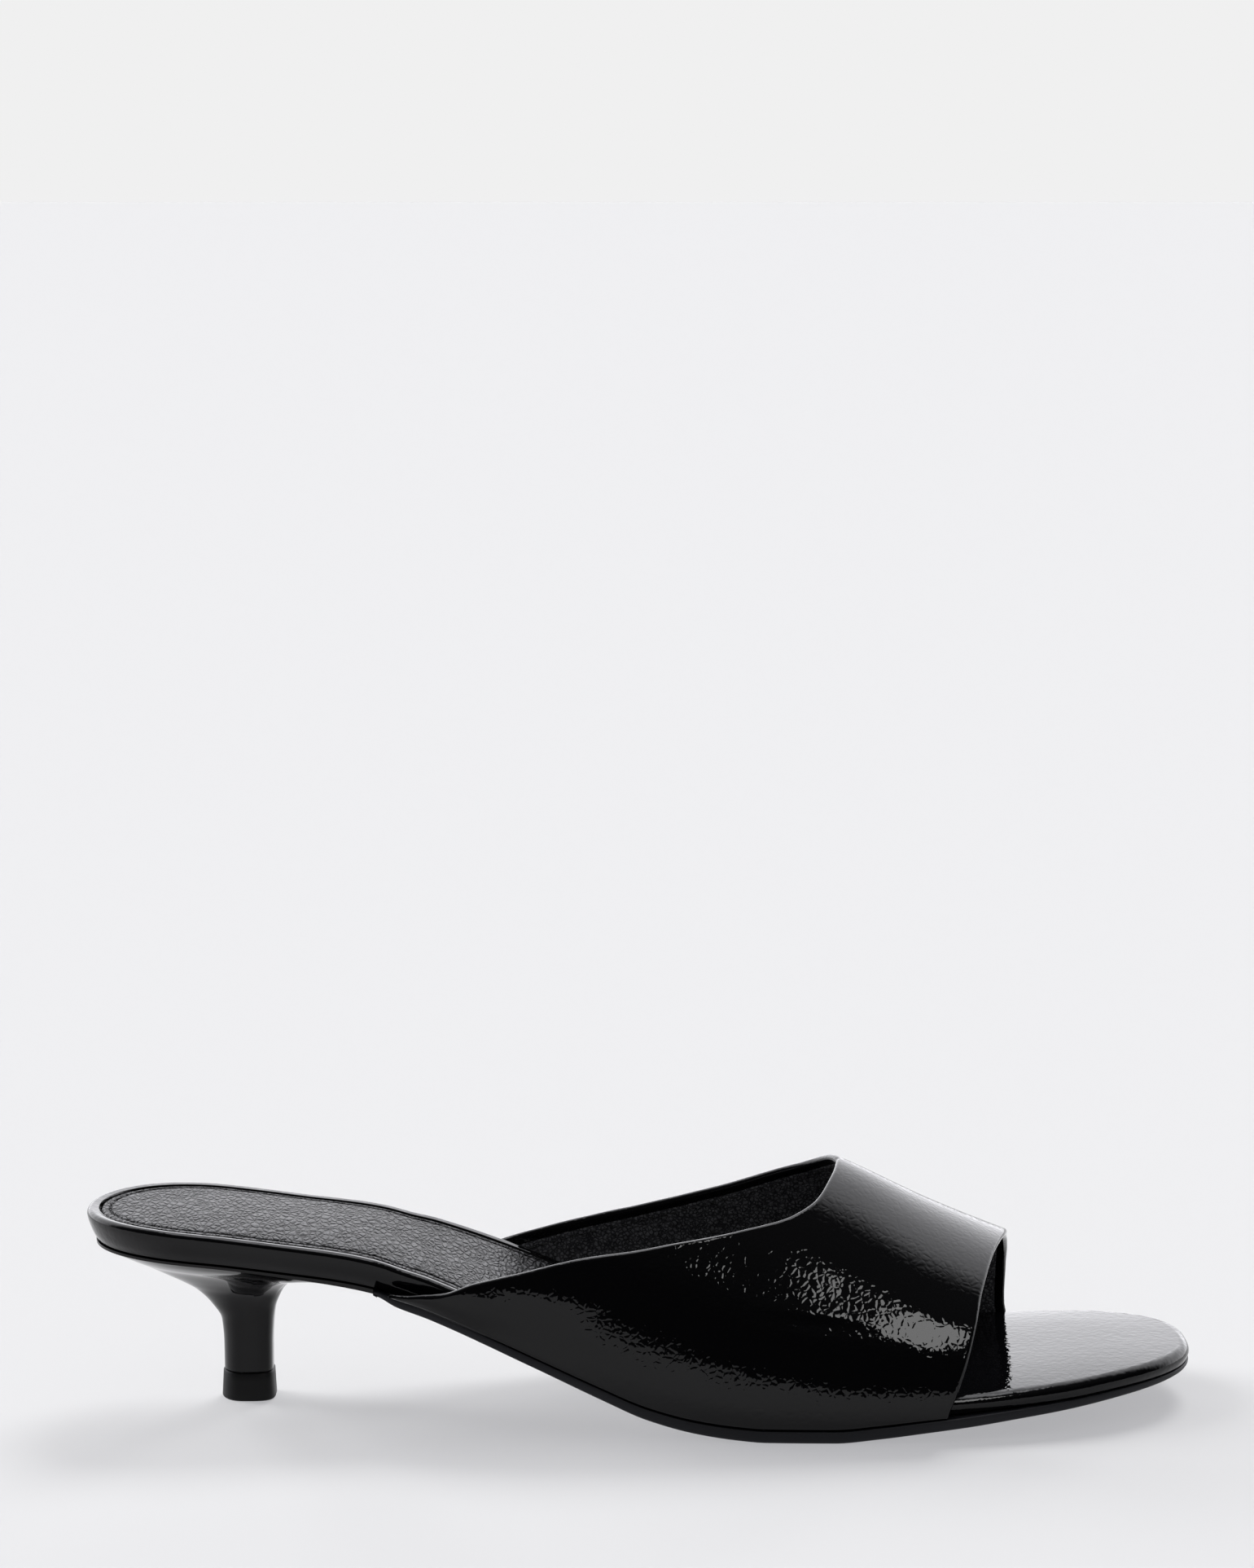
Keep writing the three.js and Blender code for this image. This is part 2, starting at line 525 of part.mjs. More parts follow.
function topPiece() {
  const surface = new Surface();
  const rings = [
    { margin: topPieceProud + topPieceFlare - topPieceEdge, z: 0 },
    { margin: topPieceProud + topPieceFlare, z: topPieceEdge },
    { margin: topPieceProud, z: topPieceHeight },
  ].map(({ margin, z }) =>
    surface.row(
      Array.from({ length: columnSteps }, (_, i) => {
        const p = columnPoint((2 * Math.PI * i) / columnSteps, margin);
        return new THREE.Vector3(p.x, p.y, z);
      }),
    ),
  );
  surface.fan(new THREE.Vector3(columnAt, columnShift, 0), rings[0], false);
  rings.slice(1).forEach((r, i) => surface.band(rings[i], r, true));
  surface.fan(new THREE.Vector3(columnAt, columnShift, topPieceHeight), rings[rings.length - 1], true);
  return surface.geometry();
}

const finishes = {
  patent: { color: 0x0b0b0c, roughness: 0.12, metalness: 0 },
  sock: { color: 0x3c3c3e, roughness: 0.6, metalness: 0 },
  rubber: { color: 0x17181a, roughness: 0.7, metalness: 0 },
  lacquer: { color: 0x101011, roughness: 0.15, metalness: 0 },
};

const shoe = new THREE.Group();
function piece(name, geometry, finish) {
  const mesh = new THREE.Mesh(geometry, new THREE.MeshStandardMaterial(finishes[finish]));
  mesh.name = name;
  shoe.add(mesh);
}
piece("outsole", outsole(), "rubber");
piece("footbed", footbed(), "patent");
piece("sock", sock(), "sock");
piece("upper", upper(), "patent");
piece("heel", heel(), "lacquer");
piece("top_piece", topPiece(), "rubber");

// The origin goes to the middle of the shoe's box, on the floor.
const box = new THREE.Box3().setFromObject(shoe);
const middle = box.getCenter(new THREE.Vector3());
shoe.position.set(-middle.x, -middle.y, -box.min.z);
const part = new THREE.Group();
part.add(shoe);

export default part;
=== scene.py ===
# %% [markdown]
# # A black patent mule in Blender
# The object is a woman's open-toe kitten-heel mule for the right foot. A shoemaker puts it together from
# six pieces: a covered footbed, a sock lining, an upper, an outsole, a heel and its top piece. The solids
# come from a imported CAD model, which stays the frame: each dressed piece below takes the place of one
# solid and keeps its form. Every surface here could be sculpted by eye, but a shoe is drawn from a last,
# and a last follows a rule. So the surfaces are worked out again from the same outline and sections, with
# far more points, and the things that a solid leaves out are added: folded edges, a lining, a groove,
# stitches, wrinkles and the finish of each material.

# %% Load the frame
import math

import bpy
import numpy as np
from mathutils import Matrix, Vector


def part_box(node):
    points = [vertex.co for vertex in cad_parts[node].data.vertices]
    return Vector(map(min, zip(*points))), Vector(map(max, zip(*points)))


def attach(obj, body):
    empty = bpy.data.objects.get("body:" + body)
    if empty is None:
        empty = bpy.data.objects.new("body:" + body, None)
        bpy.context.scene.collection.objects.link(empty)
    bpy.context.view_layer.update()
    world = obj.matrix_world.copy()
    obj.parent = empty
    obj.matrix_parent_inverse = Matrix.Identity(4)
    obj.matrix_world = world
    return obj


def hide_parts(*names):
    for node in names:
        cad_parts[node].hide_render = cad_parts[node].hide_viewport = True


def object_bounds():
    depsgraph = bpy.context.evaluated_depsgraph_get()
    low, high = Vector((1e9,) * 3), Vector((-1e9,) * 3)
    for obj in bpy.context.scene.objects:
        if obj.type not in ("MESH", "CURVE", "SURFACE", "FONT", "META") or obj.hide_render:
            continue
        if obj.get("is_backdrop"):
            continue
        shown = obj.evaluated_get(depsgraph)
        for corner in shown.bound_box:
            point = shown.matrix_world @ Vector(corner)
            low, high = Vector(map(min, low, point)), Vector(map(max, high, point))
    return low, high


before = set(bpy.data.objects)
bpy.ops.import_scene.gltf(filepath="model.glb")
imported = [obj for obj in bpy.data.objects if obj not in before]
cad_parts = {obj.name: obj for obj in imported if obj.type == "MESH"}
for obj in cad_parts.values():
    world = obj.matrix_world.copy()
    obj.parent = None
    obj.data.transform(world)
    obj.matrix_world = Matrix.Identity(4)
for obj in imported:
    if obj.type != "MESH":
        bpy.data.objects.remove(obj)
cad_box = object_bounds()
print("CAD nodes:", sorted(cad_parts))

# %% [markdown]
# ## The sizes of the last
# All sizes are in millimetres, with x from the back of the heel to the toe, y to the inner side of the
# foot and z up from the floor. They are the same named sizes as the solids have, so a dressed piece can't
# drift from its solid.

# %% Sizes
MM = 0.001
FOOTBED_LENGTH = 249.0
BALL_AT = 172.0
BALL_HALF_WIDTH = 36.5
SEAT_HALF_WIDTH = 26.0
SEAT_RISE = 36.9
TOE_SPRING = 7.6
ARCH_RISE = 2.35
ARCH_POWER = 1.5
INSTEP_HEIGHT = 48.7
BOARD_THICKNESS = 6.65
BOARD_TAPER = 2.0
SEAT_DISH = 0.8
OUTSOLE_THICKNESS = 2.85
OUTSOLE_ROUNDING = 0.9
UPPER_WALL = 1.8
SOCK_THICKNESS = 1.0
SOCK_RECESS = 1.8
SOCK_INSET = 3.2
SOCK_END = 168.0
RECESS_RUN_OUT = 8.0
FLARE_FADE = 0.22
SEAM_GAP = 0.3
BREAST_AT = 65.5
COLUMN_AT = 35.8
COLUMN_LENGTH = 11.1
COLUMN_WIDTH = 10.4
COLUMN_SHIFT = 1.5
TOP_PIECE_HEIGHT = 6.5
TOP_PIECE_PROUD = 0.25
TOP_PIECE_FLARE = 0.3
TOP_PIECE_EDGE = 0.6
FRONT_ANGLE = 0.75
BACK_POWER = 2.0
FRONT_POWER = 3.6
HEEL_RIM = 0.6

# %% [markdown]
# ## Curves from short tables
# A patternmaker keeps a last as a few measured stations. A smooth curve through each column of such a
# table gives the value between them. A plain spline would overshoot where a flat stretch meets a bend, so
# the slope at each row is the harmonic mean of its neighbours' slopes, which never swings past the rows.


# %% Tables
def smooth_curve(x, y):
    """A smooth curve through the points x, y that never swings past them."""
    slope = np.diff(y) / np.diff(x)
    both = slope[:-1] * slope[1:]
    inner = np.where(both > 0, 2 * both / np.where(both > 0, slope[:-1] + slope[1:], 1), 0)
    tangent = np.concatenate(([slope[0]], inner, [slope[-1]]))

    def value(v):
        c = np.clip(v, x[0], x[-1])
        i = np.clip(np.searchsorted(x, c, side="left") - 1, 0, len(x) - 2)
        step = x[i + 1] - x[i]
        t = (c - x[i]) / step
        base = y[i] + (y[i + 1] - y[i]) * t * t * (3 - 2 * t)
        return base + step * t * (1 - t) * (tangent[i] * (1 - t) - tangent[i + 1] * t)

    return value


def table(text):
    """Reads a table with named columns and gives a curve over the first column for each of the others."""
    names, *rows = [line.split() for line in text.strip().splitlines()]
    columns = np.array(rows, float).T
    return {name: smooth_curve(columns[0], column) for name, column in zip(names[1:], columns[1:])}


BOTTOM = table("""
at      seat   toe   arch  sole  board
0.0     1.0    0     0     0.45  1.11
0.04    0.992  0     0     0.45  1.07
0.096   0.972  0     0     0.45  1.02
0.185   0.902  0     0.05  0.45  1
0.265   0.806  0     0.42  0.45  1
0.2835  0.738  0     0.55  0.78  1
0.313   0.668  0     0.75  0.86  1
0.361   0.54   0     0.95  0.86  1
0.402   0.422  0     1     0.87  1
0.468   0.228  0     0.8   0.95  0.96
0.506   0.122  0     0.6   1.0   0.92
0.549   0.046  0     0.35  1.03  0.87
0.585   0.0115 0     0.1   1.05  0.82
0.61    0      0     0     1.06  0.795
0.67    0      0     0     1.06  0.75
0.71    0      0.122 0     1.05  0.72
0.75    0      0.27  0     1.03  0.69
0.814   0      0.47  0     0.94  0.66
0.87    0      0.63  0     0.84  0.64
0.93    0      0.82  0     0.74  0.63
1.0     0      1.0   0     0.55  0.62
""")
PLAN = table("""
at    seat_outer  seat_inner  ball_outer  ball_inner  axis  lean  welt_outer  welt_inner
0.0   1.0         1.0         0           0           0     1     0.1         0.1
0.14  1.0         1.0         0           0           0     1     0.1         0.1
0.27  0.78        0.82        0.13        0.12        0     1     0.1         0.1
0.4   0.4         0.45        0.52        0.46        0     0.5   0.85        0.85
0.5   0.15        0.18        0.81        0.74        0     0.35  0.95        0.95
0.6   0           0           0.97        0.93        0     0.3   0.95        0.95
0.7   0           0           1.0         0.99        0.01  0.3   0.95        0.95
0.78  0           0           1.02        1.0         0.03  0.3   0.7         0.95
0.84  0           0           1.03        1.02        0.06  0.3   0.15        0.9
0.88  0           0           1.03        1.02        0.08  0.3   0           0.25
0.94  0           0           1.02        1.01        0.11  0.3   -0.3        -0.2
1.0   0           0           1.0         1.0         0.14  0.3   -0.6        -0.6
""")
LAST = table("""
at    ridge  offset  bulge_outer  bulge_inner  wall  crown
0.26  1.5    0.05    0.05         0.05         0.6   0.55
0.4   1.42   0.05    0.06         0.06         0.62  0.5
0.5   1.33   0.06    0.06         0.05         0.55  0.5
0.6   1.18   0.08    0.05         0.04         0.5   0.5
0.68  1.02   0.1     0.05         0.04         0.48  0.5
0.76  0.82   0.12    0.04         0.04         0.5   0.55
0.84  0.645  0.14    0.03         0.03         0.55  0.6
0.9   0.53   0.16    0.03         0.03         0.6   0.62
""")
CUT = table("""
up    throat_outer  throat_inner  toe_outer  toe_inner  flare
0.0   0.27          0.325         0.769      0.846      0
0.03  0.297         0.35          0.771      0.8455     0.7
0.07  0.328         0.374         0.775      0.845      0.9
0.12  0.354         0.402         0.779      0.8435     0.6
0.2   0.401         0.443         0.785      0.843      0.2
0.3   0.456         0.492         0.791      0.843      0
0.4   0.518         0.542         0.796      0.8425     0
0.5   0.582         0.587         0.8        0.842      0
0.6   0.632         0.6225        0.8055     0.8405     0
0.7   0.656         0.6485        0.811      0.838      0
0.8   0.6665        0.663         0.817      0.836      0
0.9   0.673         0.671         0.8235     0.834      0
1.0   0.676         0.676         0.83       0.83       0
""")
FLARE = table("""
up    back   side   front
0.0   0.0    0.0    0.0
0.2   0.002  0.0    0.0
0.39  0.018  0.012  0.01
0.52  0.1    0.06   0.03
0.64  0.23   0.14   0.08
0.71  0.36   0.23   0.12
0.77  0.49   0.34   0.17
0.85  0.66   0.54   0.24
0.91  0.79   0.77   0.34
0.96  0.9    0.92   0.58
1.0   1.0    1.0    1.0
""")
HEEL_END = {"share": 0.115, -1: 2.1, 1: 2.1}
TOE_END = {"share": 0.345, -1: 2.4, 1: 2.75}

# %% [markdown]
# ## The outline and the heights of the sole
# Three short functions say what every piece needs to know: how wide the footbed is on each side, how high
# its underside lies, and how high its top lies. A side of -1 is the outer side of the foot and 1 the
# inner side.


# %% Outline and heights
def ease(v, low, high):
    t = np.clip((v - low) / (high - low), 0, 1)
    return t * t * (3 - 2 * t)


def mix(a, b, t):
    return a + (b - a) * t


def axis(x):
    return BALL_HALF_WIDTH * PLAN["axis"](x / FOOTBED_LENGTH)


def half_width(x, side):
    at = np.clip(x / FOOTBED_LENGTH, 0, 1)
    name = "outer" if side < 0 else "inner"
    wide = SEAT_HALF_WIDTH * PLAN["seat_" + name](at) + BALL_HALF_WIDTH * PLAN["ball_" + name](at)
    for end, from_end in ((HEEL_END, at), (TOE_END, 1 - at)):
        wide = wide * (1 - np.maximum(0, 1 - from_end / end["share"]) ** end[side]) ** (1 / end[side])
    return wide


def sole_line(x, y):
    at = x / FOOTBED_LENGTH
    inwards = np.clip(y / np.maximum(1e-4, half_width(x, 1)), 0, 1)
    arch = ARCH_RISE * BOTTOM["arch"](at) * inwards**ARCH_POWER
    return SEAT_RISE * BOTTOM["seat"](at) + TOE_SPRING * BOTTOM["toe"](at) + arch


def underside(x, y):
    return sole_line(x, y) + OUTSOLE_THICKNESS * BOTTOM["sole"](x / FOOTBED_LENGTH)


def footbed_top(x, y):
    hollow = SEAT_DISH * np.maximum(0, 1 - x / BREAST_AT)
    across = np.minimum(1, np.abs(y) / SEAT_HALF_WIDTH)
    return underside(x, y) + BOARD_THICKNESS * BOTTOM["board"](x / FOOTBED_LENGTH) - hollow * (1 - across**2)


def recess_share(x):
    """1 where the sock lies in the footbed, falling to 0 past the sock's end."""
    return 1 - ease(x, SOCK_END + SEAM_GAP, SOCK_END + SEAM_GAP + RECESS_RUN_OUT)


def recess_top(x, y):
    return footbed_top(x, y) - SOCK_RECESS * recess_share(x)


def lean(x):
    return -BOARD_TAPER * PLAN["lean"](x / FOOTBED_LENGTH)


def welt(x, side):
    share = PLAN["welt_outer" if side < 0 else "welt_inner"](x / FOOTBED_LENGTH)
    return share * (SEAM_GAP + UPPER_WALL)


print("half widths at the ball:", [half_width(BALL_AT, side).round(2) for side in (-1, 1)])

# %% [markdown]
# ## From points to meshes
# A soft flat piece, such as a sole, a board or a pad, is easiest to draw as a loop of points that is
# moved outwards or inwards and up or down, ring by ring, like a profile that is swept round the outline.
# The last ring is closed with a cover of strips that run across. The same helper serves the footbed, the
# sock, the outsole and the heel.

# %% Mesh helpers
TIP_MIDDLE = sum(corner.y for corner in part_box("top_piece")) / 2
ORIGIN = np.array([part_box("footbed")[0].x / MM, TIP_MIDDLE / MM - COLUMN_SHIFT, 0.0])
SHARP_ANGLE = math.radians(50)


def in_frame(points):
    """Millimetres of the last to metres of the frame."""
    return (np.asarray(points, float) + ORIGIN) * MM


def placed(name, data):
    """Puts a mesh, a lamp or a camera into the scene as an object."""
    thing = bpy.data.objects.new(name, data)
    bpy.context.scene.collection.objects.link(thing)
    return thing


class Skin:
    """Collects the points and faces of one piece."""

    def __init__(self):
        self.points = []
        self.faces = []

    def row(self, points):
        start = len(self.points)
        self.points.extend(np.asarray(points, float))
        return list(range(start, len(self.points)))

    def band(self, low, high, closed=False):
        count = len(low)
        for i in range(count if closed else count - 1):
            j = (i + 1) % count
            face = [low[i], low[j], high[j], high[i]]
            face = [v for n, v in enumerate(face) if v != face[n - 1]]
            if len(face) > 2:
                self.faces.append(face)

    def bands(self, rings):
        for low, high in zip(rings, rings[1:]):
            self.band(low, high, closed=True)

    def flip(self, start):
        """Turns round the faces from number start on."""
        self.faces[start:] = [face[::-1] for face in self.faces[start:]]

    def fan(self, middle, ring):
        m = self.row([middle])[0]
        self.faces.extend([m, v, ring[(n + 1) % len(ring)]] for n, v in enumerate(ring))

    def made(self, name, material):
        """Makes the object in its material, with its faces turned outwards."""
        mesh = bpy.data.meshes.new(name)
        points = in_frame(self.points)
        volume = sum(np.dot(points[f[0]], np.cross(points[f[k]], points[f[k + 1]]))
                     for f in self.faces for k in range(1, len(f) - 1))
        faces = self.faces if volume > 0 else [f[::-1] for f in self.faces]
        mesh.from_pydata(points.tolist(), [], faces)
        mesh.shade_smooth()
        mesh.set_sharp_from_angle(angle=SHARP_ANGLE)
        mesh.materials.append(material)
        print(name, "has", len(points), "points and", len(self.faces), "faces")
        return placed(name, mesh)


SIDE_STEPS = 200
ACROSS_STEPS = 26


def plate(start, end, margin=None):
    """Stations along the last with the outer and the inner edge, closer together towards the round ends."""
    x = start + (end - start) * (1 - np.cos(np.pi * np.arange(SIDE_STEPS + 1) / SIDE_STEPS)) / 2
    edges = []
    for side in (-1, 1):
        half = half_width(x, side)
        out = margin(x, side) if margin else 0
        edges.append(axis(x) + np.where(half > 1e-4, side * (half + out), 0))
    return x, np.array(edges)


def edge_places(y):
    """The places of a plate's edge, anticlockwise from above, as pairs of station and step across."""
    tip = y.shape[1] - 1
    wide = np.abs(y[0] - y[1]) > 0
    out = [(i, 0) for i in range(tip + 1)]
    front = [(tip, k) for k in range(1, ACROSS_STEPS)] if wide[tip] else []
    home = [(i, ACROSS_STEPS) for i in range(tip, -1, -1) if wide[i]]
    back = [(0, k) for k in range(ACROSS_STEPS - 1, 0, -1)] if wide[0] else []
    return out + front + home + back


def offset(loop, distance):
    """Moves the points of an anticlockwise loop outwards, square to it."""
    along = np.roll(loop, -1, 0) - np.roll(loop, 1, 0)
    normal = np.stack([along[:, 1], -along[:, 0]], 1)
    normal /= np.linalg.norm(normal, axis=1, keepdims=True)
    return loop + normal * np.reshape(distance, (-1, 1))


def edge_loop(x, y):
    places = edge_places(y)
    return places, np.array([[x[i], mix(y[0, i], y[1, i], k / ACROSS_STEPS)] for i, k in places])


def with_height(loop, height):
    return np.column_stack([loop, height(loop[:, 0], loop[:, 1])])


def cover(skin, places, ring, loop, height):
    """Closes a ring with strips that run across the piece."""
    at = {place: n for n, place in enumerate(places)}
    stations = max(i for i, _ in places) + 1
    cells = []
    for i in range(stations):
        if (i, ACROSS_STEPS) not in at:
            cells.append([ring[at[i, 0]]] * (ACROSS_STEPS + 1))
            continue
        a, b = loop[at[i, 0]], loop[at[i, ACROSS_STEPS]]
        share = np.arange(ACROSS_STEPS + 1)[:, None] / ACROSS_STEPS
        points = with_height(mix(a, b, share), height)
        cells.append([ring[at[i, k]] if (i, k) in at else skin.row([points[k]])[0]
                      for k in range(ACROSS_STEPS + 1)])
    for before, after in zip(cells, cells[1:]):
        skin.band(after, before)


def slab(outline, rings):
    """Sweeps rings of (distance outwards, height function) round an outline and covers both ends."""
    places, base = edge_loop(*outline)
    skin = Skin()
    made = []
    for out, height in rings:
        loop = offset(base, out(base[:, 0]) if callable(out) else np.full(len(base), out))
        made.append((loop, height, skin.row(with_height(loop, height))))
    skin.bands([ring for _, _, ring in made])
    for (loop, height, ring), turned in ((made[0], True), (made[-1], False)):
        count = len(skin.faces)
        cover(skin, places, ring, loop, height)
        if turned:
            skin.flip(count)
    return skin


# %% [markdown]
# ## Helpers for materials
# Colours are written as the hex values that a picture editor shows, and one function turns them to the
# linear values that Blender works in. One more function adds a node with its settings and its links, so
# that a material reads as a list of what it is made of. Every material starts with its pattern's place in
# millimetres, so that the scale of a pattern is one over its real size.


# %% Material helpers
def linear(hex_colour):
    """An sRGB hex colour as linear red, green, blue and alpha."""
    parts = [int(hex_colour[i:i + 2], 16) / 255 for i in (1, 3, 5)]
    return [c / 12.92 if c <= 0.04045 else ((c + 0.055) / 1.055) ** 2.4 for c in parts] + [1.0]


def add(tree, kind, links=None, sockets=None, **settings):
    """Adds a node: settings are its properties, sockets its input values and links what feeds its inputs."""
    node = tree.nodes.new(kind)
    for name, value in settings.items():
        setattr(node, name, value)
    for name, value in (sockets or {}).items():
        node.inputs[name].default_value = value
    for name, source in (links or {}).items():
        if source is not None:
            tree.links.new(source, node.inputs[name])
    return node


def new_material(name, sockets):
    """A material with one principled shader, with its node tree, the shader and the place in millimetres."""
    material = bpy.data.materials.new(name)
    material.use_nodes = True
    tree = material.node_tree
    tree.nodes.clear()
    shader = add(tree, "ShaderNodeBsdfPrincipled", sockets=sockets)
    out = add(tree, "ShaderNodeOutputMaterial")
    tree.links.new(shader.outputs["BSDF"], out.inputs["Surface"])
    coordinates = add(tree, "ShaderNodeTexCoord").outputs["Object"]
    place = add(tree, "ShaderNodeMapping", {"Vector": coordinates}, {"Scale": [1 / MM] * 3})
    return material, tree, shader, place.outputs["Vector"]


def waves(tree, place, layers, normal=None):
    """Bumps of soft noise over each other: each layer has a size and a depth in millimetres, and a detail."""
    for size, depth, detail in layers:
        noise = add(tree, "ShaderNodeTexNoise", {"Vector": place}, {"Scale": 1 / size, "Detail": detail})
        normal = add(tree, "ShaderNodeBump", {"Height": noise.outputs["Fac"], "Normal": normal},
                     {"Distance": depth * MM}).outputs["Normal"]
    return normal


def lacquered(tree, shader, normal):
    """Gives the same waves to the surface and to the clear coat on it."""
    for socket in ("Normal", "Coat Normal"):
        tree.links.new(normal, shader.inputs[socket])


# %% [markdown]
# ## Patent leather
# Crinkled patent is split leather under a thick clear lacquer, pressed with a fine wrinkle while it is
# still soft. The lacquer is what the eye reads: sharp reflections, white only where a light or the bright
# wall stands opposite, and broken up at their edges by the wrinkle. So the black leather below it hardly
# matters, the coat is nearly a mirror, and the wrinkle goes into the normal of both. The wrinkle's cells
# are about 1.7 mm across. They lie on a slower swell of the padding below, and noise pushes their places
# about, which draws them out into short worms. Narrow valleys part the cells, and a valley leans out of a
# light's reflection, so it shows as a dark line in it.

# %% Patent leather
CRINKLE_CELL = 1.7
CRINKLE_FINE = 0.8
CRINKLE_PUSH = 3.0
PADDING_SWELL = 9.0
VALLEY_SHARE = 0.3


def patent(name, swell_mm, crinkle_mm, valley_mm, fine_mm):
    material, tree, shader, place = new_material(name, {
        "Base Color": linear("#040405"),
        "Roughness": 0.42,
        "IOR": 1.45,
        "Specular IOR Level": 0.0,
        "Coat Weight": 1.0,
        "Coat Roughness": 0.03,
        "Coat IOR": 1.34,
    })
    push = add(tree, "ShaderNodeTexNoise", {"Vector": place}, {"Scale": 1 / CRINKLE_PUSH, "Detail": 1.0})
    drawn_out = add(tree, "ShaderNodeVectorMath", {0: place, 1: push.outputs["Color"]},
                    operation="ADD").outputs["Vector"]
    normal = waves(tree, place, [(PADDING_SWELL, swell_mm, 1.0)])
    normal = waves(tree, drawn_out, [(CRINKLE_CELL, crinkle_mm, 1.0), (CRINKLE_FINE, fine_mm, 1.0)], normal)
    cell = add(tree, "ShaderNodeTexVoronoi", {"Vector": drawn_out}, {"Scale": 1 / CRINKLE_CELL},
               feature="DISTANCE_TO_EDGE").outputs["Distance"]
    island = add(tree, "ShaderNodeMapRange", {"Value": cell}, {"From Min": 0.0, "From Max": VALLEY_SHARE},
                 interpolation_type="SMOOTHSTEP").outputs["Result"]
    normal = add(tree, "ShaderNodeBump", {"Height": island, "Normal": normal},
                 {"Distance": valley_mm * MM}).outputs["Normal"]
    lacquered(tree, shader, normal)
    return material


UPPER_PATENT = patent("crinkled_patent_leather", 0.03, 0.04, 0.015, 0.006)
BOARD_PATENT = patent("wrapped_patent_leather", 0.04, 0.055, 0.006, 0.014)

# %% [markdown]
# ## Sock and lining
# The sock and the lining are a coated synthetic with a fine pebble grain, pressed from rollers. It has a
# soft sheen. The bump gives the pebbles their relief, and over it the colour is painted by the grain's
# height: each pebble's top is painted lighter, a painted highlight, and the creases between are painted
# darker, a painted shade. A cell pattern gives the creases, noise bends them, and a second, larger noise
# varies the pebbles, as in real hide. They are about 1.3 mm long and twice as wide, because the creases run
# across the shoe.


# %% Pebbled lining
PEBBLE_NARROWING = 0.45
PEBBLE_PUSH = 1.3
CREASE_SHARE = 0.3
PEBBLE_PATCHES = 1.5
# Heights of the grain between which the colour goes from the painted crease shade to the painted top
# highlight.
SHADED_CREASE_HEIGHT = 0.8
HIGHLIGHT_TOP_HEIGHT = 1.9
LINING_SWELL = 12.0


def pebbled(name, crease_shade_hex, top_highlight_hex, cell_mm, depth_mm, roughness):
    material, tree, shader, place = new_material(name, {
        "Roughness": roughness,
        "IOR": 1.47,
        "Specular IOR Level": 0.05,
    })
    along = add(tree, "ShaderNodeMapping", {"Vector": place},
                {"Scale": (1, PEBBLE_NARROWING, 1)}).outputs["Vector"]
    push = add(tree, "ShaderNodeTexNoise", {"Vector": along}, {"Scale": 1 / (PEBBLE_PUSH * cell_mm)})
    bent = add(tree, "ShaderNodeVectorMath", {0: along, 1: push.outputs["Color"]},
               operation="ADD").outputs["Vector"]
    cell = add(tree, "ShaderNodeTexVoronoi", {"Vector": bent}, {"Scale": 1 / cell_mm},
               feature="DISTANCE_TO_EDGE").outputs["Distance"]
    pebble = add(tree, "ShaderNodeMapRange", {"Value": cell}, {"From Max": CREASE_SHARE},
                 interpolation_type="SMOOTHSTEP").outputs["Result"]
    patchy = add(tree, "ShaderNodeTexNoise", {"Vector": along},
                 {"Scale": 1 / (2 * cell_mm), "Detail": 3.0}).outputs["Fac"]
    height = add(tree, "ShaderNodeMath", {0: patchy, 2: pebble}, {1: PEBBLE_PATCHES},
                 operation="MULTIPLY_ADD").outputs["Value"]
    normal = waves(tree, place, [(LINING_SWELL, 1.5 * depth_mm, 2.0)])
    normal = add(tree, "ShaderNodeBump", {"Height": height, "Normal": normal},
                 {"Distance": depth_mm * MM}).outputs["Normal"]
    tree.links.new(normal, shader.inputs["Normal"])
    # The colour follows the grain's height: painted shade in the creases, painted highlight on the pebble
    # tops.
    top = add(tree, "ShaderNodeMapRange", {"Value": height},
              {"From Min": SHADED_CREASE_HEIGHT, "From Max": HIGHLIGHT_TOP_HEIGHT}).outputs["Result"]
    colour = add(tree, "ShaderNodeMix", {"Factor": top}, data_type="RGBA")
    colour.inputs["A"].default_value = linear(crease_shade_hex)
    colour.inputs["B"].default_value = linear(top_highlight_hex)
    tree.links.new(colour.outputs["Result"], shader.inputs["Base Color"])
    return material


# Each pair of colours: painted shade for the creases, then painted highlight for the pebble tops.
SOCK_LINING = pebbled("pebbled_sock_lining", "#040405", "#3e3e40", 1.3, 0.36, 0.33)
UPPER_LINING = pebbled("pebbled_upper_lining", "#2a2a2c", "#5e5e60", 0.9, 0.12, 0.42)

# %% [markdown]
# ## Rubber, moulded heel and thread
# The outsole is a sheet of cut rubber, dull with a satin edge from the grinding wheel. The top piece is
# harder moulded rubber. The heel is ABS, moulded and lacquered, so smooth that only a slow waviness shows
# in it. The thread is bonded nylon.


# %% Rubber, heel and thread
WEAR_PATCH = 16.0
WEAR_SWING = 0.07
PLY_SPACING = 0.5
PLY_DEPTH = 0.03


def rubber(name, hex_colour, grain_mm, depth_mm, roughness):
    material, tree, shader, place = new_material(name, {
        "Base Color": linear(hex_colour),
        "IOR": 1.52,
        "Specular IOR Level": 0.2,
    })
    tree.links.new(waves(tree, place, [(grain_mm, depth_mm, 4.0)]), shader.inputs["Normal"])
    wear = add(tree, "ShaderNodeTexNoise", {"Vector": place}, {"Scale": 1 / WEAR_PATCH, "Detail": 3.0})
    worn = add(tree, "ShaderNodeMapRange", {"Value": wear.outputs["Fac"]}, {
        "From Min": 0.3,
        "From Max": 0.7,
        "To Min": roughness - WEAR_SWING,
        "To Max": roughness + WEAR_SWING,
    })
    tree.links.new(worn.outputs["Result"], shader.inputs["Roughness"])
    return material


SOLE_RUBBER = rubber("cut_sole_rubber", "#17181c", 0.5, 0.02, 0.5)
TIP_RUBBER = rubber("moulded_tip_rubber", "#050506", 0.4, 0.012, 0.46)

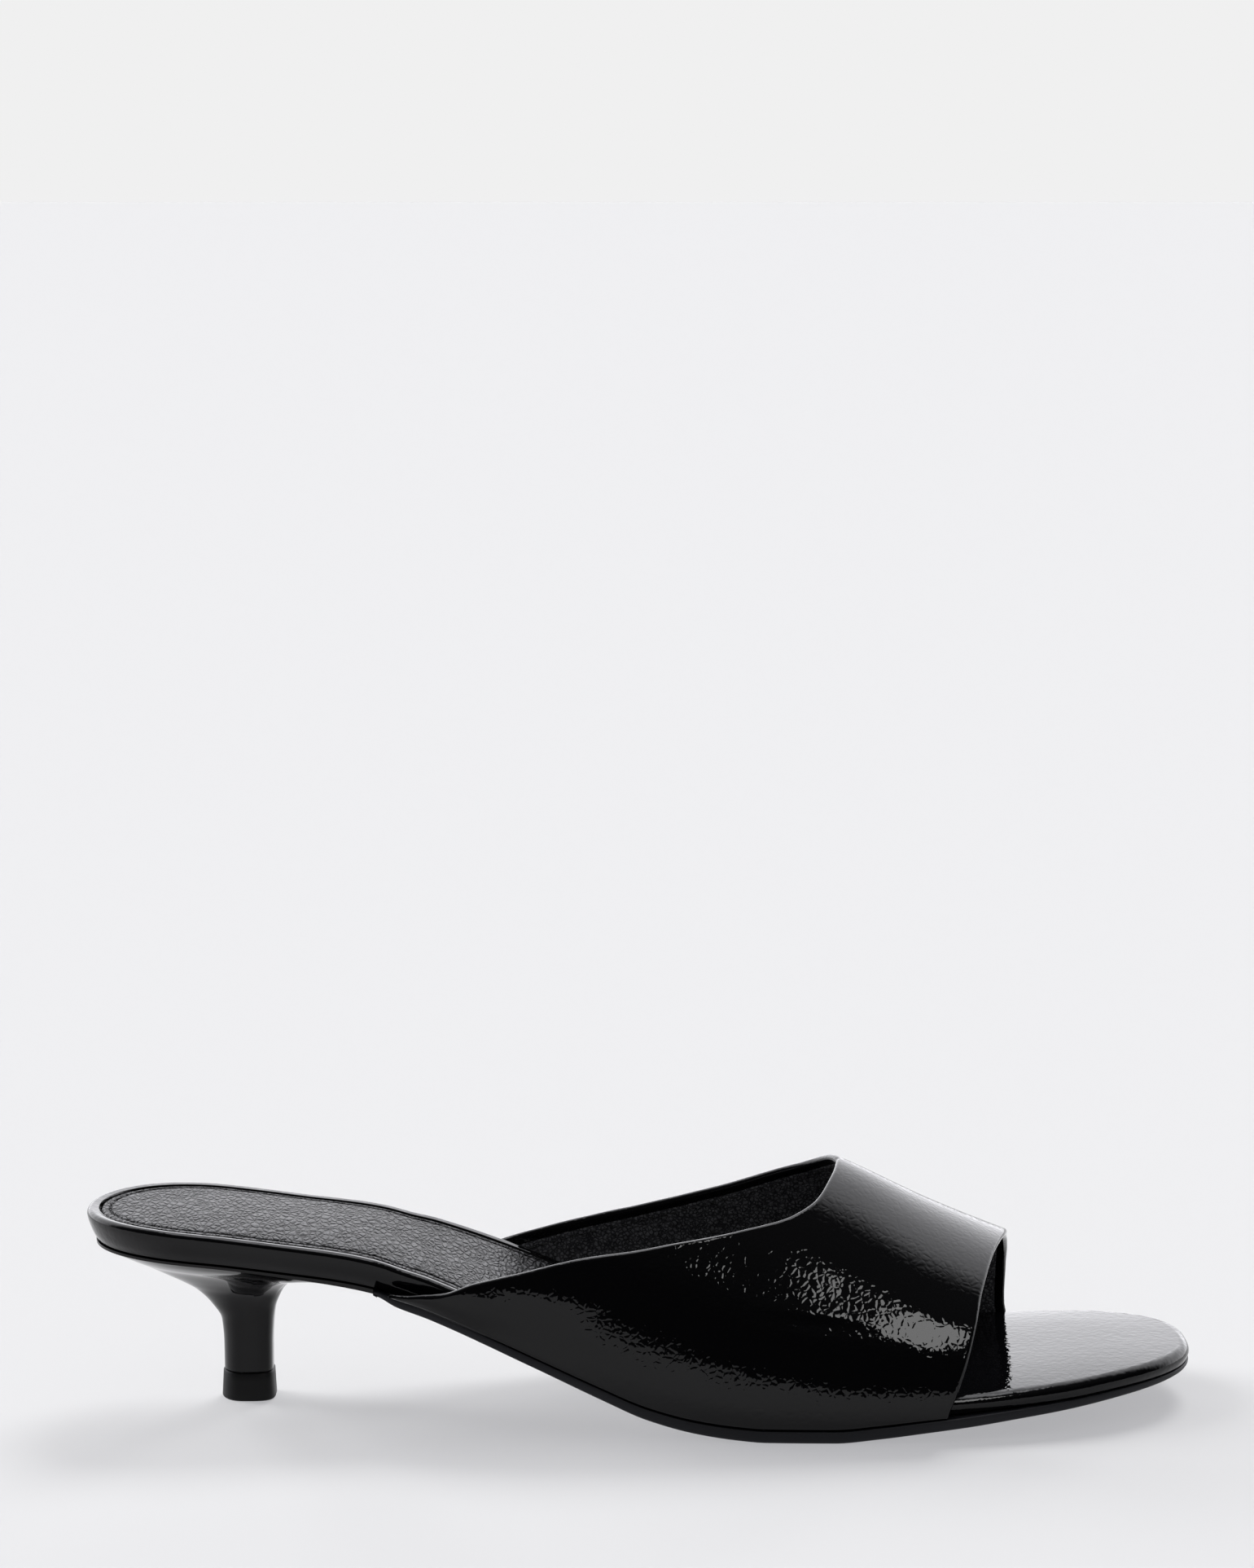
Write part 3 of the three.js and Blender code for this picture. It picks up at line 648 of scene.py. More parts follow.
HEEL_PLASTIC, heel_tree, heel_shader, heel_place = new_material("lacquered_heel_abs", {
    "Base Color": linear("#040405"),
    "Roughness": 0.3,
    "IOR": 1.5,
    "Specular IOR Level": 0.0,
    "Coat Weight": 1.0,
    "Coat Roughness": 0.04,
    "Coat IOR": 1.34,
})
lacquered(heel_tree, heel_shader, waves(heel_tree, heel_place, [(11.0, 0.04, 1.0), (1.2, 0.0008, 2.0)]))

THREAD, thread_tree, thread_shader, thread_place = new_material("bonded_nylon_thread", {
    "Base Color": linear("#0a0a0b"),
    "Roughness": 0.55,
    "IOR": 1.53,
})
twist = add(thread_tree, "ShaderNodeTexWave", {"Vector": thread_place},
            {"Scale": 1 / PLY_SPACING, "Distortion": 1.0}, bands_direction="DIAGONAL").outputs["Fac"]
ply = add(thread_tree, "ShaderNodeBump", {"Height": twist}, {"Distance": PLY_DEPTH * MM})
thread_tree.links.new(ply.outputs["Normal"], thread_shader.inputs["Normal"])

# %% [markdown]
# ## The footbed
# The footbed is the insole board with padding on it, wrapped in patent leather that is pulled round its
# edge. Its side is nearly flat and leans in at the foot, its upper edge is rounded, and a shallow recess
# takes the sock. At the toe, where no sock covers it, the wrapping leather is gathered round the tight
# bend, which leaves small pleats.

# %% Footbed
HALF_LEAN_POWER = 1.36
FOOT_ROUNDING = 0.5
HEEL_ROUNDING = 1.2
TOE_ROUNDING = 2.0
RIM_GROOVE = 0.14
PLEATS_AT = 185.0
PLEATS_FROM = 186.0
PLEATS_RUN_IN = 20.0
PLEAT_DEPTH = 0.1
PLEAT_SPACING = 2.6
BED_DOME = 1.1
BED_FALL = 0.55
BED_POWER = 3.5
BED_FROM, BED_FULL = 176, 205
TIGHT_UP_TO, SOFT_FROM = 60, 190
# distance in from the edge, and how far below the bed's level
RECESS_LIP = ((2.3, RIM_GROOVE), (2.42, RIM_GROOVE), (2.52, 0.02), (2.64, 0.05), (2.72, 0.3), (2.78, 0.8))


def bed_level(x, y):
    """0 in the middle of the toe's bed, 1 on its edge."""
    at = np.clip(x / FOOTBED_LENGTH, 0, 1)
    power = np.where(y < axis(x), TOE_END[-1], TOE_END[1])
    along = np.maximum(0, 1 - (1 - at) / TOE_END["share"])
    across = np.abs(y - axis(x)) / BALL_HALF_WIDTH
    return np.clip(along**power + across**power, 0, 1) ** (1 / power)


def bed_top(x, y):
    """The footbed's upper face, padded to a low dome in front of the sock."""
    dome = BED_DOME * (1 - bed_level(x, y) ** BED_POWER) - BED_FALL
    return footbed_top(x, y) + dome * ease(x, BED_FROM, BED_FULL)


def rim_rounding(x):
    """Radius of the upper edge. The wrapping is pulled tighter at the heel than round the padded toe."""
    return mix(HEEL_ROUNDING, TOE_ROUNDING, ease(x, TIGHT_UP_TO, SOFT_FROM))


def pleats(x, y):
    """Small gathers round the toe, deepest on the tightest bend."""
    turn = np.hypot((x - PLEATS_AT) / PLEAT_SPACING, y / PLEAT_SPACING) * 2 * np.pi
    swing = np.sin(turn + 1.3 * np.sin(turn * 0.37)) * np.sin(turn * 0.61 + 0.7)
    return PLEAT_DEPTH * ease(x, PLEATS_FROM, PLEATS_FROM + PLEATS_RUN_IN) * swing


def footbed_rings():
    rings = []
    for angle in np.radians([0, 30, 60, 90]):
        rise = FOOT_ROUNDING * (1 - math.cos(angle))
        inset = FOOT_ROUNDING * (1 - math.sin(angle))
        rings.append((lambda x, d=inset: lean(x) - d, lambda x, y, r=rise: underside(x, y) + r))
    for share in (0.2, 0.4, 0.6, 0.8):
        def height(x, y, s=share):
            return mix(underside(x, y), bed_top(x, y) - rim_rounding(x), s)
        rings.append((lambda x, s=share: lean(x) * (1 - s) ** HALF_LEAN_POWER, height))
    for angle in np.radians(np.linspace(0, 90, 12)):
        def out(x, a=angle):
            return rim_rounding(x) * (math.cos(a) - 1)

        def height(x, y, a=angle):
            return bed_top(x, y) - rim_rounding(x) * (1 - math.sin(a)) + pleats(x, y) * math.sin(a) ** 2
        rings.append((out, height))
    for inset, drop in RECESS_LIP:
        def height(x, y, d=drop):
            return bed_top(x, y) - d * recess_share(x)
        rings.append((-inset, height))
    rings.append((SEAM_GAP - SOCK_INSET, lambda x, y: bed_top(x, y) - SOCK_RECESS * recess_share(x)))
    return rings


footbed = slab(plate(0, FOOTBED_LENGTH), footbed_rings()).made("footbed_cover", BOARD_PATENT)

# %% [markdown]
# ## The sock
# The sock is a thin foam-backed pad, glued into the recess. Its edge is turned down, and a line of
# stitches runs in a soft groove about 2 mm inside it. The foam swells between the stitches, so the face
# is a low dome: it falls towards the edges all round, and is darker where it falls towards the camera.

# %% Sock
SOCK_EDGE = 0.5
GROOVE_AT = 2.0
GROOVE_WIDTH = 1.1
GROOVE_DEPTH = 0.55
SOCK_DOME = 1.1
SEAT_END = HEEL_END["share"] * FOOTBED_LENGTH


def sock_dome(x, y):
    """The foam's swell: none at the sock's edge, full along its middle."""
    at = np.maximum(x, SEAT_END)
    wide = np.where(y < axis(x), half_width(at, -1), half_width(at, 1))
    level = np.hypot(np.maximum(0, 1 - x / SEAT_END), (y - axis(x)) / wide)
    return SOCK_DOME * (1 - np.clip(level, 0, 1) ** 2)


def sock_height(share, rise=0.0):
    return lambda x, y: recess_top(x, y) + SEAM_GAP + (SOCK_THICKNESS + sock_dome(x, y)) * share + rise


def sock_rings():
    rings = [(-SOCK_INSET, sock_height(0)), (-SOCK_INSET, sock_height(0.5))]
    for angle in np.radians([22, 45, 67, 90]):
        out = -SOCK_INSET - SOCK_EDGE * (1 - math.cos(angle))
        rings.append((out, sock_height(0.5 + 0.5 * math.sin(angle))))
    for step in np.linspace(-1, 1, 9):
        dip = GROOVE_DEPTH * (1 + math.cos(math.pi * step)) / 2
        rings.append((-SOCK_INSET - GROOVE_AT - GROOVE_WIDTH / 2 * step, sock_height(1, -dip)))
    rings.append((-SOCK_INSET - GROOVE_AT - 2 * GROOVE_WIDTH, sock_height(1)))
    return rings


sock = slab(plate(0, SOCK_END), sock_rings()).made("sock_pad", SOCK_LINING)

# %% [markdown]
# ## The outsole
# The outsole is cut from a sheet, glued on, and its edge is ground and waxed. So it is a slab with a
# slightly rounded lower edge and a crisp upper one.

# %% Outsole
OUTSOLE_UPPER_EDGE = 0.25
BREAST_JOINT = 0.04


def outsole_rings():
    rings = []
    for angle in np.radians([0, 22, 45, 67, 90]):
        rise = OUTSOLE_ROUNDING * (1 - math.cos(angle))
        rings.append((OUTSOLE_ROUNDING * (math.sin(angle) - 1), lambda x, y, r=rise: sole_line(x, y) + r))
    for angle in np.radians([0, 45, 90]):
        drop = OUTSOLE_UPPER_EDGE * (1 - math.sin(angle))
        rings.append((OUTSOLE_UPPER_EDGE * (math.cos(angle) - 1),
                      lambda x, y, d=drop: underside(x, y) - SEAM_GAP - d))
    return rings


sheet_outline = plate(BREAST_AT + BREAST_JOINT, FOOTBED_LENGTH, welt)
outsole = slab(sheet_outline, outsole_rings()).made("outsole_sheet", SOLE_RUBBER)

# %% [markdown]
# ## The upper
# The upper is a vamp pulled over the last. Each section across the last is a curve from the sole's edge
# up to the ridge, and the throat and the toe opening cut it off. The real one is a sandwich: patent
# outside, lining inside. At both openings the patent is skived, folded over and glued, so its edge is a
# soft roll, and the lining begins about 2 mm further in. Modelling the fold as a roll, rather than a cut
# edge, is what gives the thin bright line there.

# %% The last above the footbed


def last_point(x, side, up):
    """Points of the last. side is -1 or 1, and up the share of the way from the sole's edge to the ridge."""
    at = x / FOOTBED_LENGTH
    width = np.where(side < 0, half_width(x, -1), half_width(x, 1))
    edge = width + side * axis(x) + SEAM_GAP
    foot = underside(x, side * edge)
    top = OUTSOLE_THICKNESS + INSTEP_HEIGHT * LAST["ridge"](at)
    ridge = side * BALL_HALF_WIDTH * LAST["offset"](at)
    bulge = np.where(side < 0, LAST["bulge_outer"](at), LAST["bulge_inner"](at))
    y = (edge, edge * (1 + bulge), ridge + (edge - ridge) * LAST["crown"](at), ridge)
    z = (foot, foot + (top - foot) * LAST["wall"](at), top, top)
    weights = ((1 - up) ** 3, 3 * up * (1 - up) ** 2, 3 * up**2 * (1 - up), up**3)
    across, height = (sum(w * c for w, c in zip(weights, line)) for line in (y, z))
    return np.stack([x + 0 * up, side * across, height], -1)


def upper_point(around, along):
    """Points of the upper's inner face. around runs from the outer edge over the ridge to the inner edge."""
    side = np.where(around < 0.5, -1.0, 1.0)
    up = 1 - np.abs(2 * around - 1)
    throat = np.where(side < 0, CUT["throat_outer"](up), CUT["throat_inner"](up))
    toe = np.where(side < 0, CUT["toe_outer"](up), CUT["toe_inner"](up))
    point = last_point(FOOTBED_LENGTH * mix(throat, toe, along), side, up)
    point[..., 1] += side * UPPER_WALL * CUT["flare"](up) * (1 - ease(along, 0, FLARE_FADE))
    return point


NORMAL_STEP = 2e-3
UPRIGHT_TAIL = 0.045


def unit(v):
    return v / np.maximum(1e-12, np.linalg.norm(v, axis=-1, keepdims=True))


def upper_frame(around, along):
    """Points of the upper with the directions around, along and outwards."""
    low, high = np.maximum(0, around - NORMAL_STEP), np.minimum(1, around + NORMAL_STEP)
    start, end = along - NORMAL_STEP, along + NORMAL_STEP
    round_it = unit(upper_point(high, along) - upper_point(low, along))
    along_it = unit(upper_point(around, end) - upper_point(around, start))
    normal = unit(np.cross(along_it, round_it))
    up = 1 - np.abs(2 * around - 1)
    normal[..., 2] *= ease(up, 0, UPRIGHT_TAIL)
    return upper_point(around, along), round_it, along_it, unit(normal)


# %% [markdown]
# The edges need distances in millimetres square to the edge, while the rule runs along the shoe. Near the
# tails the topline runs almost along the rows, so the distance along a row is the distance square to the
# edge divided by the sine of the angle between them.

# %% Distances from the edges
AROUND_STEPS = 240
MIDDLE_STEPS = 60
TAIL_CROWDING = 1.35
LONGEST_SHARE = 0.3
SMALLEST_SINE = 0.12


def around_stations():
    """Stations round the upper, closer together towards the tails."""
    up = np.linspace(0, 1, AROUND_STEPS // 2 + 1) ** TAIL_CROWDING
    return np.concatenate([up / 2, 1 - up[-2::-1] / 2])


def along_for(around, distance, end):
    """The share along each row at a distance in millimetres from the throat (end 0) or the toe (end 1)."""
    here = np.full_like(around, float(end))
    _, _, along_it, normal = upper_frame(around, here)
    edge = unit(np.gradient(upper_point(around, here), axis=0))
    sine = np.linalg.norm(np.cross(edge, along_it), axis=-1)
    length = np.linalg.norm(upper_point(around, here * 0 + 1) - upper_point(around, here * 0), axis=-1)
    share = np.minimum(LONGEST_SHARE, distance / np.maximum(SMALLEST_SINE, sine) / length)
    return share if end == 0 else 1 - share


around = around_stations()
print("rows of the upper:", len(around))

# %% [markdown]
# Soft troughs and ridges are laid on the vamp one by one, where the leather was pulled over the last. Each
# row of the table gives a fold on the side of the shoe: where its middle lies, how it is turned, its
# length, width and depth. A negative depth is a trough.

# %% Folds in the vamp
FOLDS = [
    # side, x, z, turn in degrees, length, width, depth
    (-1, 162.0, 27.0, -8, 11.0, 1.6, 0.16),
    (-1, 163.0, 25.4, -8, 12.0, 1.6, -0.14),
    (-1, 78.0, 30.5, -24, 9.0, 1.3, 0.16),
    (-1, 82.0, 27.5, -26, 10.0, 1.4, -0.14),
    (-1, 150.0, 34.0, -30, 22.0, 6.0, -0.22),
    (-1, 184.0, 22.0, -14, 24.0, 5.0, 0.16),
    (-1, 120.0, 17.0, -22, 30.0, 4.0, 0.1),
    (1, 160.0, 28.0, -10, 14.0, 2.2, 0.14),
    (1, 150.0, 34.0, -28, 20.0, 6.0, -0.2),
    (1, 185.0, 20.0, -12, 22.0, 5.0, 0.14),
]


def folds(points):
    """How far each fold lifts the skin at these points, in millimetres."""
    lift = np.zeros(points.shape[:-1])
    for side, x, z, turn, length, width, depth in FOLDS:
        c, s = math.cos(math.radians(turn)), math.sin(math.radians(turn))
        dx, dz = points[..., 0] - x, points[..., 2] - z
        down, over = (dx * c + dz * s) / length, (dz * c - dx * s) / width
        lift += np.where(points[..., 1] * side > 0, depth * np.exp(-(down**2 + over**2)), 0)
    return lift


# %% [markdown]
# The patent skin is one closed tube: outside from the throat to the toe, round the folded edge, back
# along the inside and round the topline. Its section is drawn once for each row round the shoe.

# %% Patent skin of the upper
FOLD_REACH = 0.75
LINING_AT = 2.2
LINING_THICKNESS = 0.45
LINING_GAP = 0.05
FEATHER_ROLL = 0.7
FOLDS_FADE = 5.0


def above_sole(points):
    return points[..., 2] - underside(points[..., 0], points[..., 1])


def wall_at(points):
    """The wall's thickness, rolled in at the feather edge."""
    s = np.clip(above_sole(points) / FEATHER_ROLL, 0, 1)
    return UPPER_WALL - FEATHER_ROLL * (1 - np.sqrt(1 - (1 - s) ** 2))


def sheet(shares, depth):
    """Points on the upper at shares along each row, lifted outwards by a depth or by a rule for it."""
    a = np.repeat(around[:, None], shares.shape[1], 1)
    points, _, _, normal = upper_frame(a, shares)
    lift = depth(points) if callable(depth) else depth
    return points + normal * np.reshape(lift, np.shape(lift) + (1,))


def spread(near, far, steps):
    """Shares along each row: given distances from the throat and the toe, and steps between."""
    first = np.stack([along_for(around, d, 0) for d in near], 1)
    last = np.stack([along_for(around, d, 1) for d in far], 1)
    middle = mix(first[:, -1:], last[:, :1], np.linspace(0, 1, steps + 1)[None, 1:-1])
    return np.concatenate([first, middle, last], 1)


def folded_edge(end, steps=8):
    """A half round from the outer to the inner face, at the throat (end 0) or the toe (end 1)."""
    base = along_for(around, FOLD_REACH, end)
    points, _, along_it, normal = upper_frame(around, base)
    edge = unit(np.gradient(points, axis=0))
    outwards = unit(np.cross(edge, normal))
    facing = np.sum(outwards * along_it, -1, keepdims=True)
    outwards = outwards * np.sign(facing) * (1 if end else -1)
    rows = []
    wall = wall_at(points)[:, None]
    for angle in np.linspace(0, math.pi, steps + 1)[1:-1]:
        reach = outwards * FOLD_REACH * math.sin(angle)
        rows.append(points + reach + normal * wall * (1 + math.cos(angle)) / 2)
    return np.stack(rows, 1)


def closed_tube(name, stations, outer_count, material):
    """Skins a tube. At both ends the outer line of its points is joined to the inner one."""
    skin = Skin()
    rows = [skin.row(points) for points in stations]
    skin.bands(rows)
    for ring, turned in ((rows[0], False), (rows[-1], True)):
        out, home = ring[:outer_count], ring[outer_count:][::-1]
        picks = np.round(np.linspace(0, len(home) - 1, outer_count)).astype(int)
        count = len(skin.faces)
        skin.band([home[k] for k in picks], out)
        if turned:
            skin.flip(count)
    return skin.made(name, material)


near = [FOLD_REACH, 1.1, 1.5, 2.0, 2.6, 3.4, 4.6, 6.0]
outside = spread(near, near[::-1], MIDDLE_STEPS)
outer_face = sheet(outside, lambda p: wall_at(p) + folds(p) * ease(above_sole(p), 0, FOLDS_FADE))
turned = [FOLD_REACH, 1.2, LINING_AT - 0.1, LINING_AT + 0.05]
inside = spread(turned, turned[::-1], 24)
inset = np.zeros(inside.shape)
inset[:, len(turned) - 1:-len(turned) + 1] = LINING_THICKNESS + LINING_GAP
inner_face = sheet(inside, inset)
tube = np.concatenate([outer_face, folded_edge(1), inner_face[:, ::-1], folded_edge(0)[:, ::-1]], 1)
upper = closed_tube("upper_vamp", tube, outer_face.shape[1], UPPER_PATENT)

# %% [markdown]
# The lining is a thin sheet of its own on the inner face. Its edge shows as a small step inside the
# opening.

# %% Lining of the upper
LINING_STEPS = 40
LINING_EDGE_SHARE = 0.4
near = [LINING_AT + 0.1 + further for further in (0, 0.2, 0.6, 1.4)]
shares = spread(near, near[::-1], LINING_STEPS)
face_in = sheet(shares, 0.0)
for end in (0, -1):
    face_in[:, end] = sheet(shares[:, [end]], LINING_THICKNESS * LINING_EDGE_SHARE)[:, 0]
tube = np.concatenate([face_in, sheet(shares, LINING_THICKNESS)[:, ::-1]], 1)
lining = closed_tube("upper_lining", tube, face_in.shape[1], UPPER_LINING)

# %% [markdown]
# ## The heel
# The heel is moulded in one piece: a D-shaped column with its flat to the front, which flares into the
# seat. Each ring lies between the column's section and the seat's outline, and the tables say how far it
# has come at the back, at the sides and at the front.


# %% Heel
HEEL_LEVELS = 64
LEVEL_CROWDING = 1.2
RIM_SHARES = (0.3, 0.9, 1.0)


def column_point(angle, margin=0.0):
    power = mix(BACK_POWER, FRONT_POWER, (1 + np.cos(angle)) / 2)
    a, b = COLUMN_LENGTH / 2 + margin, COLUMN_WIDTH / 2 + margin
    c, s = np.cos(angle), np.sin(angle)
    r = ((np.abs(c) / a) ** power + (np.abs(s) / b) ** power) ** (-1 / power)
    return np.stack([COLUMN_AT + r * c, COLUMN_SHIFT + r * s], -1)


def heel_rings():
    x, y = plate(0, BREAST_AT)
    places, base = edge_loop(x, y)
    rim = offset(base, lean(base[:, 0]))
    tip = len(x) - 1
    front = np.array([i == tip for i, _ in places])
    rim[front] = base[front] * [1, 1 + lean(BREAST_AT) / half_width(BREAST_AT, 1)]
    angles = []
    for i, k in places:
        side = -1 if k == 0 else 1
        turned = side * (math.pi - (math.pi - FRONT_ANGLE) * i / tip)
        angles.append(FRONT_ANGLE * (2 * k / ACROSS_STEPS - 1) if i == tip else turned)
    angles = np.array(angles)
    c = np.cos(angles)
    foot = TOP_PIECE_HEIGHT + SEAM_GAP
    front_rim = underside(BREAST_AT, 0) - SEAM_GAP - sole_line(BREAST_AT, 0)
    to_end = np.where(c < 0, c * c, np.minimum(1, c / math.cos(FRONT_ANGLE)))
    levels = [(up, 0.0) for up in 1 - (1 - np.linspace(0, 1, HEEL_LEVELS)) ** LEVEL_CROWDING]
    levels += [(1.0, share) for share in RIM_SHARES]
    for up, rise in levels:
        end = np.where(c < 0, FLARE["back"](up), FLARE["front"](up))
        share = mix(FLARE["side"](up), end, to_end)[:, None]
        q = mix(column_point(angles), rim, share)
        seat = underside(q[:, 0], q[:, 1]) - SEAM_GAP
        thick = mix(HEEL_RIM, front_rim, ease(q[:, 0], COLUMN_AT, BREAST_AT))
        yield q, foot + (seat - thick * (1 - rise) - foot) * up, places


skin = Skin()
rings = []
for plan, height, heel_places in heel_rings():
    rings.append(skin.row(np.column_stack([plan, height])))
skin.bands(rings)
skin.fan([COLUMN_AT, COLUMN_SHIFT, TOP_PIECE_HEIGHT + SEAM_GAP], rings[0][::-1])
cover(skin, heel_places, rings[-1], plan, lambda x, y: underside(x, y) - SEAM_GAP)
heel = skin.made("heel_block", HEEL_PLASTIC)

# %% [markdown]
# ## The top piece
# The top piece is the small wearing tip under the heel. It is moulded, a touch wider than the column,
# with a soft edge at the foot and a thin step where it meets the column.

# %% Top piece
TIP_SIDES = 96
TIP_STEP = 0.25
skin = Skin()
angles = np.arange(TIP_SIDES) * 2 * np.pi / TIP_SIDES
wide = TOP_PIECE_PROUD + TOP_PIECE_FLARE
profile = [(wide - TOP_PIECE_EDGE * (1 - math.sin(t)), TOP_PIECE_EDGE * (1 - math.cos(t)))
           for t in np.radians([0, 22, 45, 67, 90])]
profile += [(mix(wide, TOP_PIECE_PROUD, s), mix(TOP_PIECE_EDGE, TOP_PIECE_HEIGHT - TIP_STEP, s))
            for s in (0.3, 0.7, 1)]
profile += [(TOP_PIECE_PROUD - 0.08, TOP_PIECE_HEIGHT - 0.07), (TOP_PIECE_PROUD - TIP_STEP, TOP_PIECE_HEIGHT)]
rings = [skin.row(np.column_stack([column_point(angles, margin), np.full(TIP_SIDES, z)]))
         for margin, z in profile]
skin.bands(rings)
skin.fan([COLUMN_AT, COLUMN_SHIFT, 0], rings[0][::-1])
skin.fan([COLUMN_AT, COLUMN_SHIFT, TOP_PIECE_HEIGHT], rings[-1])
tip = skin.made("top_piece_tip", TIP_RUBBER)

# %% [markdown]
# ## Stitches
# Stitches repeat along a line, so Geometry Nodes lay them: the line is resampled at the stitch spacing, a
# small rounded thread is placed on each point and turned along the line. The tree has named inputs for
# the sizes, and it ends by realizing the copies and giving them the thread's material, because only real
# faces are kept later.

# %% Stitching tree
STITCH_SPACING = 2.4
STITCH_LENGTH = 1.7
THREAD_WIDTH = 0.42


def stitch_tree():
    tree = bpy.data.node_groups.new("stitches_along_a_line", "GeometryNodeTree")
    for name, kind in (("Line", "NodeSocketGeometry"), ("Spacing", "NodeSocketFloat"),
                       ("Length", "NodeSocketFloat"), ("Thread", "NodeSocketFloat")):
        tree.interface.new_socket(name, in_out="INPUT", socket_type=kind)
    tree.interface.new_socket("Stitches", in_out="OUTPUT", socket_type="NodeSocketGeometry")
    start = add(tree, "NodeGroupInput").outputs
    line = add(tree, "GeometryNodeMeshToCurve", {"Mesh": start["Line"]}).outputs["Curve"]
    spaced = add(tree, "GeometryNodeResampleCurve", {"Curve": line, "Length": start["Spacing"]},
                 mode="LENGTH")
    thread = add(tree, "GeometryNodeMeshUVSphere", sockets={"Segments": 8, "Rings": 6, "Radius": 0.5})
    size = add(tree, "ShaderNodeCombineXYZ",
               {"X": start["Length"], "Y": start["Thread"], "Z": start["Thread"]}).outputs["Vector"]
    tangent = add(tree, "GeometryNodeInputTangent").outputs["Tangent"]
    turn = add(tree, "FunctionNodeAlignRotationToVector", {"Vector": tangent}, axis="X").outputs["Rotation"]
    copies = add(tree, "GeometryNodeInstanceOnPoints", {
        "Points": spaced.outputs["Curve"],
        "Instance": thread.outputs["Mesh"],
        "Rotation": turn,
        "Scale": size,
    })
    real = add(tree, "GeometryNodeRealizeInstances", {"Geometry": copies.outputs["Instances"]})
    finish = add(tree, "GeometryNodeSetMaterial", {"Geometry": real.outputs["Geometry"]},
                 {"Material": THREAD})
    smooth = add(tree, "GeometryNodeSetShadeSmooth", {"Geometry": finish.outputs["Geometry"]})
    add(tree, "NodeGroupOutput", {"Stitches": smooth.outputs["Geometry"]})
    return tree


STITCHES = stitch_tree()


def sewn(name, points, closed=False):
    """A row of stitches along a line of points, as a plain mesh."""
    line = bpy.data.meshes.new(name + "_line")
    count = len(points)
    edges = [(i, (i + 1) % count) for i in range(count if closed else count - 1)]
    line.from_pydata(in_frame(points).tolist(), edges, [])
    guide = placed(name + "_guide", line)
    nodes = guide.modifiers.new("stitches", "NODES")
    nodes.node_group = STITCHES
    values = {"Spacing": STITCH_SPACING, "Length": STITCH_LENGTH, "Thread": THREAD_WIDTH}
    for item in STITCHES.interface.items_tree:
        if item.in_out == "INPUT" and item.name in values:
            nodes[item.identifier] = values[item.name] * MM
    bpy.context.view_layer.update()
    evaluated = guide.evaluated_get(bpy.context.evaluated_depsgraph_get())
    mesh = bpy.data.meshes.new_from_object(evaluated)
    bpy.data.objects.remove(guide)
    mesh.name = name
    print(name, "has", len(mesh.polygons), "faces")
    return placed(name, mesh)


# %% Stitches round the sock
THREAD_LIFT = 0.08
OPEN_FRONT = 3.0
_, sock_line = edge_loop(*plate(0, SOCK_END))
sock_line = offset(sock_line, np.full(len(sock_line), -SOCK_INSET - GROOVE_AT))
sock_line = sock_line[sock_line[:, 0] < SOCK_END - OPEN_FRONT]
gap = int(np.argmax(np.linalg.norm(np.diff(sock_line, axis=0), axis=1)))
sock_line = np.roll(sock_line, -gap - 1, 0)
sock_stitches = sewn("sock_stitches", with_height(sock_line, sock_height(1, THREAD_LIFT - GROOVE_DEPTH)))

# %% Stitches inside the topline
LINING_SEAM = LINING_AT + 1.3
SEAM_LIFT = 0.02
SEAM_REACH = 0.93
seam = along_for(around, LINING_SEAM, 0)[:, None]
seam_points = sheet(seam, -SEAM_LIFT)[:, 0]
topline_stitches = sewn("topline_stitches", seam_points[np.abs(2 * around - 1) < SEAM_REACH])

# %% [markdown]
# ## Joining the frame
# Each dressed piece is listed with the solid it stands for, which is hidden, and with a material slot of the
# record, which is only listed and not given to it. Every piece rides on one body, as nothing moves on this
# shoe.

# %% Ride and replace, with the slots listed
for thing, node, slot in (
    (footbed, "footbed", "footbed_patent"),
    (sock, "sock", "sock_lining"),
    (outsole, "outsole", "sole_rubber"),
    (upper, "upper", "upper_patent"),
    (lining, None, "sock_lining"),
    (heel, "heel", "heel_plastic"),
    (tip, "top_piece", "tip_rubber"),
    (sock_stitches, None, "sock_lining"),
    (topline_stitches, None, "sock_lining"),
):
    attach(thing, "root")
    if node:
        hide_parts(node)

# %% [markdown]
# ## Studio
# A product photograph of black patent is a photograph of the studio. The wall behind is pale and the room
# in front is dark, so the surfaces that face up and back are pale and the sides stay black, but for the
# pale floor low in them. The studio could be built from walls and lamps, but a lamp near the shoe lights
# the paper unevenly. So the world holds two studios: the one that gloss sees, with its bright wall, and
# an even dome that lights the paper and the dull pieces. The paper glows a little, as a lit backdrop
# does, so that no shadow on it is deep.

# %% Floor
FLOOR_REACH = 60.0
floor_mesh = bpy.data.meshes.new("studio_floor")
corners = [(x * FLOOR_REACH, y * FLOOR_REACH, 0) for x, y in ((-1, -1), (1, -1), (1, 1), (-1, 1))]
floor_mesh.from_pydata(corners, [], [(0, 1, 2, 3)])
floor = placed("studio_floor", floor_mesh)
FLOOR, _, _, _ = new_material("studio_paper", {
    "Base Color": linear("#7c7c7c"),
    "Roughness": 0.9,
    "Specular IOR Level": 0.0,
    "Emission Color": linear("#f0f0f4"),
    "Emission Strength": 0.46,
})
floor_mesh.materials.append(FLOOR)
floor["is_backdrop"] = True

# %% World
WALL_GLOW = 2.55
ROOM_GLOW = 0.03
OVERHEAD_GLOW = 4.0
OVERHEAD_HALF = math.radians(18)
DOME_GLOW = 0.43
LAMP_WHITE = linear("#f6f6fa")

